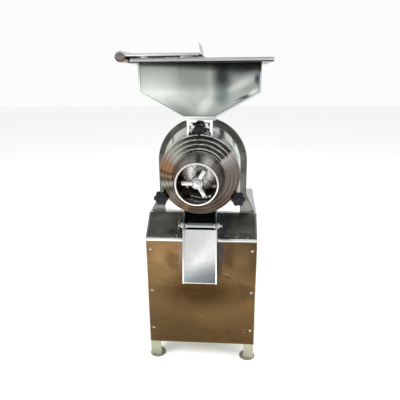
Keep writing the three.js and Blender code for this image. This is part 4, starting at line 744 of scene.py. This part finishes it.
def lathe_steel(name, level, fans=True, warm=0.02):
    """Steel turned on a lathe: fine grooves in rings round the rotor's axis, and where fans is set, painted
    reflections of turned rings over its colour.
    """
    f = Finish(name)
    across, up = f.x - AXIS.x, f.z - AXIS.z
    radius = f.root(across * across + up * up) + 1e-5
    fine = f.wave(radius + 0.35 * f.y, 1500, 2.0)
    broad = f.wave(radius + 0.5 * f.y, 210, 2.0)
    colour = f.mix(f.ramp(broad, 0.3, 0.7), grey(level * 0.72, warm), grey(level * 1.15, warm))
    # painted reflections of the turned rings
    if fans:
        colour = turned_painted_light(f, colour, radius)
    colour = f.shade(colour, 0.9 + 0.2 * fine)
    roughness = 0.19 + 0.12 * (fine - 0.5) + 0.05 * f.noise(25)
    normal = f.bump(fine, 0.03 * MM, 0.6)
    normal = f.bump(broad, 0.15 * MM, 0.5, normal)
    return f.done(colour, roughness, 1.0, normal)


def machined_steel(name, level, rough=0.2):
    """Bright bar, bolts and pins: short tool marks and a little dirt in scattered places."""
    f = Finish(name)
    mark = f.noise(700, (1, 0.2, 1), detail=2)
    dirt = f.ramp(f.noise(120, detail=3), 0.5, 0.72)
    colour = f.mix(dirt * 0.5, grey(level), grey(level * 0.42, 0.05))
    roughness = rough + 0.15 * dirt + 0.08 * (mark - 0.5)
    return f.done(colour, roughness, 1.0, f.bump(mark, 0.02 * MM, 0.6))


def paint_coat(name, colour, rough, chips=(0.30, 0.26, 0.20)):
    """Brushed or sprayed paint: slight runs in tone, an orange-peel surface, darker near the floor and
    in scattered places, and small chips."""
    f = Finish(name)
    cloud = f.noise(30, (1, 1, 0.5), detail=3)
    peel = f.noise(420, detail=2)
    chip = f.ramp(f.cells(95, {"feature": "F1"}), 0.10, 0.06) * f.ramp(f.noise(24, detail=2), 0.55, 0.62)
    worn = tuple(c * 0.8 for c in colour)
    base = f.mix(f.ramp(cloud, 0.35, 0.7), colour, worn)
    # darker within 45 mm of the floor and in scattered places
    darkening = f.ramp(f.z, 0.045, 0.0) * 0.45 + f.ramp(f.noise(60, detail=3), 0.56, 0.75) * 0.25
    base = f.mix(darkening, base, tuple(c * 0.45 for c in colour))
    base = f.mix(chip, base, chips)
    normal = f.bump(peel, 0.05 * MM, 0.5)
    normal = f.bump(1.0 - chip, 0.15 * MM, 1.0, normal)
    return f.done(base, rough + 0.15 * (cloud - 0.5), 0.0, normal)


def cast_skin(name, level):
    """Cast iron with a sandy skin and darker and lighter areas."""
    f = Finish(name)
    sand = f.noise(520, detail=4)
    patch = f.noise(45, detail=3)
    colour = f.mix(f.ramp(patch, 0.35, 0.7), grey(level * 0.7, 0.02), grey(level * 1.2, 0.03))
    return f.done(colour, 0.48 + 0.25 * patch, 0.85, f.bump(sand, 0.25 * MM, 0.7))


def moulded(name, colour, rough, coat=0.0):
    """Moulded plastic or rubber: a fine texture, dust and light wear."""
    f = Finish(name)
    fine = f.noise(800, detail=2)
    dust = f.ramp(f.noise(85, detail=4), 0.5, 0.8)
    lighter = tuple(min(1, c * 2.2 + 0.012) for c in colour)
    base = f.mix(dust * 0.35, colour, lighter)
    normal = f.bump(fine, 0.03 * MM, 0.5)
    return f.done(base, rough + 0.2 * dust, 0.0, normal, Coat_Weight=coat, Specular_IOR_Level=0.3)


# Sheets given a function after their numbers carry painted reflections and painted shade in their colour.
STEEL = {
    "side_steel": sheet_steel("side_sheet", 0.44, 0.18),
    "front_steel": sheet_steel("front_sheet", 0.5, 0.13, dents=0.15, warm=0.2, painted_light=front_painted_light),
    "rear_steel": sheet_steel("rear_sheet", 0.42, 0.28),
    "deck_steel": sheet_steel("deck_sheet", 0.42, 0.2, painted_light=deck_painted_light),
    "arch_steel": sheet_steel("arch_sheet", 0.86, 0.1, painted_light=arch_painted_light),
    "drum_steel": sheet_steel("drum_shell", 0.5, 0.18, dents=0.1),
    "neck_steel": sheet_steel("neck_sheet", 0.9, 0.12, dents=0.3, painted_light=neck_painted_light),
    "hopper_steel": sheet_steel("hopper_sheet", 0.56, 0.3, warm=-0.01, painted_light=hopper_painted_light),
    "satin_steel": sheet_steel("satin_sheet", 0.48, 0.28),
    "throat_steel": sheet_steel("throat_sheet", 0.3, 0.3, painted_light=throat_painted_light),
    "chute_steel": sheet_steel("chute_sheet", 0.8, 0.24, painted_light=chute_painted_light),
    "tray_steel": sheet_steel("tray_sheet", 0.78, 0.14, dents=0.12, painted_light=tray_painted_light),
    "grip_steel": sheet_steel("grip_tube_steel", 0.8, 0.12, dents=0.05, painted_light=grip_painted_light),
}
TURNED = lathe_steel("turned_cover", 0.34)
TURNED_PLAIN = lathe_steel("turned_disc", 0.75, fans=False)
BRIGHT = machined_steel("bright_bar", 0.72)
SCREW_STEEL = machined_steel("screw_steel", 0.5, 0.26)
CAST = cast_skin("cast_iron_skin", 0.13)
LEG_COAT = paint_coat("leg_paint_coat", (0.38, 0.38, 0.27), 0.5)
FOOT_COAT = paint_coat("foot_paint_coat", (0.27, 0.29, 0.20), 0.55)
MOTOR_COAT = paint_coat("motor_enamel", (0.11, 0.15, 0.19), 0.35, chips=(0.3, 0.3, 0.3))
KNOB_BLACK = moulded("knob_black", (0.004, 0.004, 0.0045), 0.34, coat=0.1)
BELT_BLACK = moulded("belt_rubber", (0.018, 0.018, 0.018), 0.7)

SLOT_FINISH = {
    "leg_paint": LEG_COAT,
    "foot_paint": FOOT_COAT,
    "side_steel": STEEL["side_steel"],
    "front_steel": STEEL["front_steel"],
    "rear_steel": STEEL["rear_steel"],
    "deck_steel": STEEL["deck_steel"],
    "arch_steel": STEEL["arch_steel"],
    "drum_steel": STEEL["drum_steel"],
    "satin_steel": STEEL["satin_steel"],
    "tray_steel": STEEL["tray_steel"],
    "bright_steel": BRIGHT,
    "turned_steel": TURNED_PLAIN,
    "cast_iron": CAST,
    "motor_paint": MOTOR_COAT,
    "black_plastic": KNOB_BLACK,
    "rubber": BELT_BLACK,
}
NODE_FINISH = {
    "neck": STEEL["neck_steel"],
    "hopper": STEEL["hopper_steel"],
    "chute": STEEL["chute_steel"],
    "discharge_throat": STEEL["throat_steel"],
}


def dress(node, finish):
    """Gives a CAD node its finish, joins its loose triangles and rounds its sharp edges for shading."""
    made = frame["nodes"][node]
    made.data.materials.clear()
    made.data.materials.append(finish)
    made.data.polygons.foreach_set("use_smooth", [True] * len(made.data.polygons))
    weld = made.modifiers.new("join", "WELD")
    weld.merge_threshold = 0.002 * MM
    bevel = made.modifiers.new("round", "BEVEL")
    bevel.width = EDGE
    bevel.segments = 2
    bevel.limit_method = "ANGLE"
    bevel.angle_limit = math.radians(32)
    bevel.harden_normals = True
    bevel.use_clamp_overlap = True


for subpart in frame["record"]["subparts"]:
    finish = NODE_FINISH.get(subpart["node"], SLOT_FINISH[subpart["material_slot"]])
    dress(subpart["node"], finish)


# ---------- The turned door ----------

FLANGE = 8 * MM
MOUTH_WALL = 6 * MM
INNER_R = 80 * MM  # of the cover's hollow behind the nose
BACK_R = 122 * MM  # of the cover's open back
GROOVE = 0.7 * MM
STUD_CIRCLE = 151 * MM
EAR_HALF = 14 * MM
STUD_HOLE = 7.5 * MM
LUG_ANGLES = {"top": 90, "left": 211, "right": 329}


def door_profile():
    """The cover's section from the flange's rear edge to the mouth and back inside: ring after ring, each
    with a rounded crest and a shallow groove behind it."""
    corners = [(FLANGE_R, 0.0, 1 * MM)]
    r, out = FLANGE_R, FLANGE
    corners.append((r, out, 1.6 * MM))
    for inset, rise in STEPS:
        step = inset * MM
        foot = r - step
        corners += [
            (foot + 0.62 * step, out, 0.3 * MM),
            (foot + 0.56 * step, out - GROOVE, 0.2 * MM),
            (foot + 0.50 * step, out, 0.3 * MM),
            (foot, out, 1.5 * MM),
        ]
        r = foot
        crest = out + rise * MM
        corners.append((r, crest, 2.2 * MM))
        out = crest
    nose = [(0.10, 0.0), (0.16, 0.25), (0.22, 0.0), (0.55, 0.0), (0.57, -0.3), (0.59, 0.0)]
    end = DOOR_HIGH.y - DOOR_LOW.y
    neck_r = MOUTH_R - 1.5 * MM
    for share, lift in nose:
        place = out + (end - MOUTH_WALL - out) * share
        corners.append((r + (neck_r - r) * share + lift * MM, place, 0.6 * MM))
    corners += [
        (neck_r, end - MOUTH_WALL, 1 * MM),
        (MOUTH_R, end - MOUTH_WALL, 0.8 * MM),
        (MOUTH_R, end, 1.9 * MM),
        (MOUTH_R - MOUTH_WALL, end, 1.9 * MM),
        (MOUTH_R - MOUTH_WALL, end - MOUTH_WALL, 1 * MM),
        (INNER_R, out, 6 * MM),
        (BACK_R, 0.0, 1 * MM),
    ]
    rim = rounded(corners, 1 * MM, 6)
    return np.stack([rim[:, 0], DOOR_HIGH.y - rim[:, 1]], 1)


def ear_outline():
    """A tongue pointing up: two straight sides and a half round end about the stud's hole."""
    t = np.linspace(0, math.pi, 25)
    top = np.stack([EAR_HALF * np.cos(t), STUD_CIRCLE + EAR_HALF * np.sin(t)], 1)
    root = FLANGE_R - 5 * MM
    side = np.linspace(root, STUD_CIRCLE, 8)[:-1]
    right = np.stack([np.full(7, EAR_HALF), side], 1)
    left = np.stack([np.full(7, -EAR_HALF), side[::-1]], 1)
    foot = np.stack([np.linspace(-EAR_HALF, EAR_HALF, 9)[1:-1], np.full(7, root)], 1)
    return np.vstack([right, top, left, foot])


def build_door():
    centre = (AXIS.x, 0, AXIS.z)
    parts = [turned(door_profile(), centre, 192)]
    hole = np.array([0, STUD_CIRCLE])
    ear = ring_plate(ear_outline(), hole, STUD_HOLE, DOOR_HIGH.y - FLANGE, DOOR_HIGH.y, 1.2 * MM, centre)
    for degrees in LUG_ANGLES.values():
        parts.append(spun(ear, math.radians(degrees - 90), centre))
    piece("door_cover", parts, TURNED, "door", ["door"])


build_door()


# ---------- Clamping knobs and studs ----------


LOBES = 6
STUD_R = 5.9 * MM
STUD_PITCH = 1.75 * MM


def knob(reach, scallop, boss, low, centre):
    """A moulded knob about y: going over its section from the blind bore round the skirt to the boss, the
    radius is the section's own, less a scallop of depth times ((1 - cos 6t) / 2) ^ 1.5 that is full on
    the skirt and fades to none at the boss."""
    deep, tall = 17 * MM, 22 * MM
    bore = 6.6 * MM
    section = rounded(
        [
            (0, deep, 0),
            (bore, deep, 0.3 * MM),
            (bore, 0, 0.3 * MM),
            (reach - 3 * MM, 0, 1.5 * MM),
            (reach, 4 * MM, 2 * MM),
            (reach, tall - 8 * MM, 3 * MM),
            (reach - 3.4 * MM, tall - 3.2 * MM, 2 * MM),
            (boss + 2.2 * MM, tall - 2.6 * MM, 0.8 * MM),
            (boss + 1.2 * MM, tall - 4.2 * MM, 0.6 * MM),
            (boss, tall - 3.6 * MM, 0.6 * MM),
            (boss - 0.6 * MM, tall - 0.4 * MM, 1 * MM),
            (boss - 3 * MM, tall, 1 * MM),
            (boss - 4 * MM, tall - 0.8 * MM, 0.5 * MM),
            (0, tall - 0.8 * MM, 0),
        ],
        1 * MM,
        5,
    )
    steps = 144
    t = np.linspace(0, TURN, steps, endpoint=False)[:, None]
    r, along = section[None, :, 0], section[None, :, 1]
    fade = np.clip((r - boss - 3 * MM) / (reach - boss - 5 * MM), 0, 1)
    radius = r - scallop * fade * ((1 - np.cos(LOBES * t)) / 2) ** 1.5
    place = np.broadcast_to(low - along, radius.shape)
    points = np.stack([radius * np.cos(t), place, radius * np.sin(t)], -1) + np.array(centre, float)
    return grid(points, wrap_u=True)


def stud_centre(degrees):
    a = math.radians(degrees)
    return (AXIS.x + STUD_CIRCLE * math.cos(a), 0, AXIS.z + STUD_CIRCLE * math.sin(a))


for word, degrees in LUG_ANGLES.items():
    node_low, node_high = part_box(f"knob_{word}")
    reach = (node_high.x - node_low.x) / 2 - 0.1 * MM
    scallop = 0.0 if word == "top" else 4.2 * MM
    boss = 11 * MM if word == "top" else 10 * MM
    shape = knob(reach, scallop, boss, node_high.y, stud_centre(degrees))
    piece(f"clamp_knob_{word}", [shape], KNOB_BLACK, f"knob_{word}", [f"knob_{word}"], 50)
    stud_low, stud_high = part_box(f"stud_{word}")
    centre = Vector(stud_centre(degrees)) + Vector((0, stud_low.y, 0))
    rod = thread(stud_high.y - stud_low.y, STUD_R, STUD_PITCH, centre)
    piece(f"clamp_stud_{word}", [rod], BRIGHT, "root", [f"stud_{word}"])


# ---------- Feed beater and hub nut ----------


def build_beater():
    low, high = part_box("feed_beater")
    centre = (AXIS.x, 0, AXIS.z)
    hub = [
        (10.4 * MM, low.y),
        (17 * MM, low.y),
        (20 * MM, low.y + 3 * MM),
        (20 * MM, high.y - 2 * MM),
        (18 * MM, high.y),
        (10.4 * MM, high.y),
    ]
    parts = [turned(rounded(hub, 1 * MM, 4), centre, 64)]
    half = 6.4 * MM
    arm = rounded([(-half, 14 * MM), (half, 14 * MM), (half, 48 * MM), (-half, 48 * MM)], 2.5 * MM, 5)
    for degrees in (180, 300, 60):
        bar = slab(arm, low.y + 0.5 * MM, high.y, 1.6 * MM, centre=centre)
        parts.append(spun(bar, math.radians(degrees - 90), centre))
    piece("beater", parts, BRIGHT, "rotor", ["feed_beater"])
    nut_low, nut_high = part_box("hub_nut")
    nut = hexagon_nut(26 * MM, nut_low.y, nut_high.y, 10.3 * MM, centre, spin=math.radians(30))
    piece("beater_nut", [nut], BRIGHT, "rotor", ["hub_nut"], 25)


build_beater()


# ---------- Chute bolts ----------


BOLT_R = 4.9 * MM
BOLT_PITCH = 1.25 * MM
NUT_ACROSS = 15.6 * MM
NUT_BORE = 4.6 * MM


def build_chute_bolt(word, sign):
    """A threaded pivot with a nut near each end; sign is -1 on the left and 1 on the right."""
    low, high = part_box(f"chute_bolt_{word}")
    y, z = (low.y + high.y) / 2, (low.z + high.z) / 2
    inner, outer = (low.x, high.x) if sign > 0 else (high.x, low.x)
    start = min(inner, outer)
    parts = [thread(high.x - low.x, BOLT_R, BOLT_PITCH, (start, y, z), "x")]
    spans = [
        (inner + sign * 2 * MM, inner + sign * 9 * MM),
        (outer - sign * 16 * MM, outer - sign * 9 * MM),
    ]
    for span in spans:
        parts.append(hexagon_nut(NUT_ACROSS, *sorted(span), NUT_BORE, (0, y, z), "x"))
    piece(f"pivot_bolt_{word}", parts, BRIGHT, "root", [f"chute_bolt_{word}"], 25)


build_chute_bolt("left", -1)
build_chute_bolt("right", 1)


# ---------- Feet ----------


def build_foot(node):
    """A bell foot: rim, hollow flank and cone, its radius falling with height along a hollow curve."""
    low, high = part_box(node)
    x, y = (low.x + high.x) / 2, (low.y + high.y) / 2
    s = np.linspace(0, 1, 16)
    rim_r, waist_r, top_r = 30 * MM, 17 * MM, 9 * MM
    waist = 9 * MM
    rim = [(0, 0, 0), (rim_r, 0, 1 * MM), (rim_r, 4 * MM, 1.6 * MM), (rim_r - 3 * MM, 5 * MM, 1 * MM)]
    rim = rounded(rim, 1 * MM, 4)[:-1]
    shoulder = [[25 * MM, 5.3 * MM], [21 * MM, 6.6 * MM]]
    flank_r = waist_r - (waist_r - top_r) * s**1.4
    flank = np.stack([flank_r, waist + (high.z - waist - 0.5 * MM) * s], 1)
    top = [[top_r - 1.5 * MM, high.z], [0, high.z]]
    bell = turned(np.vstack([rim, shoulder, flank, top]), (x, y, 0), 64, "z")
    piece(node.replace("foot", "bell_foot"), [bell], FOOT_COAT, "root", [node])


for end in ("front", "rear"):
    for side in ("left", "right"):
        build_foot(f"foot_{end}_{side}")


# ---------- Lid grip ----------


def build_grip():
    low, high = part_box("lid_grip")
    r = (high.x - low.x) / 2
    centre = ((low.x + high.x) / 2, 0, (low.z + high.z) / 2)
    section = rounded(
        [
            (0, low.y, 0),
            (r, low.y, 5.5 * MM),
            (r, low.y + 24 * MM, 0.2 * MM),
            (r - 0.6 * MM, low.y + 25 * MM, 0.2 * MM),
            (r, low.y + 26 * MM, 0.2 * MM),
            (r, high.y, 0.8 * MM),
            (r - 2 * MM, high.y, 0.8 * MM),
            (r - 2 * MM, low.y + 4 * MM, 1 * MM),
            (0, low.y + 4 * MM, 0),
        ],
        1 * MM,
        6,
    )
    piece("grip_tube", [turned(section, centre, 96)], STEEL["grip_steel"], "lid", ["lid_grip"])


build_grip()


# ---------- Screws ----------


SCREW_R = 3.6 * MM
SCREW_TALL = 2.6 * MM
SCREW_COLUMN = 183 * MM  # from the middle of the front and the back
SCREW_INSET = 22 * MM  # from the front and rear edges of the sides
SCREW_LEVELS = (0.917, 0.525, 0.147)  # shares of the front panel's height


def screw(at, facing):
    """A pan head with a washer and a round socket in its face, its axis along `facing` (x, y or z; a
    minus sign turns it round)."""
    sign = -1 if facing.startswith("-") else 1
    r, tall = SCREW_R, SCREW_TALL
    washer = r * 1.35
    seat = 0.8 * MM
    section = rounded(
        [
            (0, 0, 0),
            (washer, 0, 0.1 * MM),
            (washer, seat, 0.2 * MM),
            (r, seat, 0.1 * MM),
            (r, seat + 0.55 * tall, 1.0 * MM),
            (0.55 * r, seat + tall, 0.8 * MM),
            (0.42 * r, seat + tall, 0.2 * MM),
            (0.38 * r, seat + 0.35 * tall, 0.2 * MM),
            (0, seat + 0.35 * tall, 0),
        ],
        0.3 * MM,
        4,
    )
    section[:, 1] *= sign
    return turned(section, at, 24, facing[-1])


def build_screws():
    front, lift = [], 0.02 * MM
    levels = [PANEL_LOW.z + share * (PANEL_HIGH.z - PANEL_LOW.z) for share in SCREW_LEVELS]
    for side in (-1, 1):
        for z in levels:
            front.append(screw((AXIS.x + side * SCREW_COLUMN, PANEL_LOW.y - lift, z), "-y"))
    piece("front_screws", front, SCREW_STEEL, "root")
    sides = []
    for side, facing in ((-1, "-x"), (1, "x")):
        edge = PANEL_LOW.x - lift if side < 0 else PANEL_HIGH.x + lift
        for y in (PANEL_LOW.y + SCREW_INSET, DECK_HIGH.y - SCREW_INSET):
            for z in levels:
                sides.append(screw((edge, y, z), facing))
    piece("side_screws", sides, SCREW_STEEL, "root")
    rear = []
    for side in (-1, 1):
        for z in levels:
            rear.append(screw((AXIS.x + side * SCREW_COLUMN, DECK_HIGH.y + lift, z), "y"))
    piece("rear_screws", rear, SCREW_STEEL, "root")


build_screws()


# ---------- Floor, lights, world and camera ----------


FLOOR_HALF = 14.0
FLOOR_GLOW = 0.22
ROOM = 0.98  # brightness that the steel mirrors at its sides
ROOM_DIP = 0.22  # how much darker it is straight ahead
BACKDROP = 1.3
WORLD_STRENGTH = 0.75
CAMERA_PLACE = (0.11575, -1.49895, 1.0478)
CAMERA_TURN = (4.44, 16.79, -0.53)  # yaw, pitch and roll in degrees
LENS = 36.74  # millimetres, on a sensor 36 mm wide


def build_floor():
    """A wide pale floor with a little light of its own, so that it stays nearly as pale as the
    background."""
    edge = np.linspace(-FLOOR_HALF, FLOOR_HALF, 3)
    points = np.stack([*np.meshgrid(edge, edge, indexing="ij"), np.zeros((3, 3))], -1)
    vertices, quads = grid(points)
    mesh = bpy.data.meshes.new("studio_floor")
    mesh.from_pydata(vertices.tolist(), [], quads.tolist())
    f = Finish("floor_pale")
    cloud = f.noise(1.5, detail=3)
    pale = f.mix(cloud, (0.93, 0.93, 0.925), (0.96, 0.96, 0.955))
    mesh.materials.append(f.done(pale, 0.8, 0.0, Emission_Color=(1, 1, 1), Emission_Strength=FLOOR_GLOW))
    floor = bpy.data.objects.new("studio_floor", mesh)
    bpy.context.scene.collection.objects.link(floor)


def build_world():
    """Plain soft light all round; what the steel mirrors is darker ahead of the mill than at its sides."""
    world = bpy.data.worlds.new("studio")
    bpy.context.scene.world = world
    world.use_nodes = True
    tree = world.node_tree
    tree.nodes.clear()

    def math_node(operation, a, b=0.0):
        made = tree.nodes.new("ShaderNodeMath")
        made.operation = operation
        for i, value in enumerate((a, b)):
            if isinstance(value, bpy.types.NodeSocket):
                tree.links.new(value, made.inputs[i])
            else:
                made.inputs[i].default_value = value
        return made.outputs[0]

    coords = tree.nodes.new("ShaderNodeTexCoord")
    split = tree.nodes.new("ShaderNodeSeparateXYZ")
    tree.links.new(coords.outputs["Generated"], split.inputs[0])
    ahead = math_node("MAXIMUM", math_node("MULTIPLY", split.outputs[1], -1.0), 0.0)
    level = math_node("SUBTRACT", 1.0, math_node("ABSOLUTE", split.outputs[2]))
    dark = math_node("MULTIPLY", math_node("POWER", ahead, 3.0), level)
    value = math_node("SUBTRACT", ROOM, math_node("MULTIPLY", dark, ROOM_DIP))
    path = tree.nodes.new("ShaderNodeLightPath")
    mix = tree.nodes.new("ShaderNodeMix")
    mix.data_type = "RGBA"
    tree.links.new(path.outputs["Is Camera Ray"], mix.inputs[0])
    tree.links.new(value, mix.inputs[6])
    mix.inputs[7].default_value = (BACKDROP, BACKDROP, BACKDROP, 1)
    shader = tree.nodes.new("ShaderNodeBackground")
    tree.links.new(mix.outputs[2], shader.inputs[0])
    shader.inputs[1].default_value = WORLD_STRENGTH
    output = tree.nodes.new("ShaderNodeOutputWorld")
    tree.links.new(shader.outputs[0], output.inputs[0])


def area_light(name, at, target, wide, tall, watts):
    """A rectangular light aimed at a point; it lights the mill but isn't mirrored in its steel."""
    light = bpy.data.lights.new(name, "AREA")
    light.shape = "RECTANGLE"
    light.size, light.size_y = wide, tall
    light.energy = watts
    made = bpy.data.objects.new(name, light)
    made.location = at
    made.visible_glossy = False
    made.rotation_euler = (Vector(target) - Vector(at)).to_track_quat("-Z", "Y").to_euler()
    bpy.context.scene.collection.objects.link(made)


def build_camera():
    """A camera 1.05 m above the floor and 1.5 m ahead of the origin, a little right of it, looking down."""
    yaw, pitch, roll = (math.radians(d) for d in CAMERA_TURN)
    ahead = Vector((-math.sin(yaw) * math.cos(pitch), math.cos(yaw) * math.cos(pitch), -math.sin(pitch)))
    right = Vector((math.cos(yaw), math.sin(yaw), 0))
    up = right.cross(ahead)
    right_rolled = right * math.cos(roll) + up * math.sin(roll)
    up_rolled = up * math.cos(roll) - right * math.sin(roll)
    data = bpy.data.cameras.new("camera")
    data.sensor_width = 36
    data.lens = LENS
    camera = bpy.data.objects.new("camera", data)
    turn = Matrix((right_rolled, up_rolled, -ahead)).transposed().to_4x4()
    camera.matrix_world = Matrix.Translation(Vector(CAMERA_PLACE)) @ turn
    bpy.context.scene.collection.objects.link(camera)
    bpy.context.scene.camera = camera


build_floor()
build_world()
area_light("key_left", (-1.9, -1.6, 2.1), (0, 0, 0.8), 1.2, 1.6, 60)
area_light("fill_right", (2.2, -0.9, 1.5), (0, 0, 0.7), 0.8, 1.8, 35)
area_light("top", (0.2, 0.1, 2.9), (0.1, 0, 0.8), 1.8, 1.2, 45)
build_camera()
bpy.context.scene.view_settings.view_transform = "Standard"
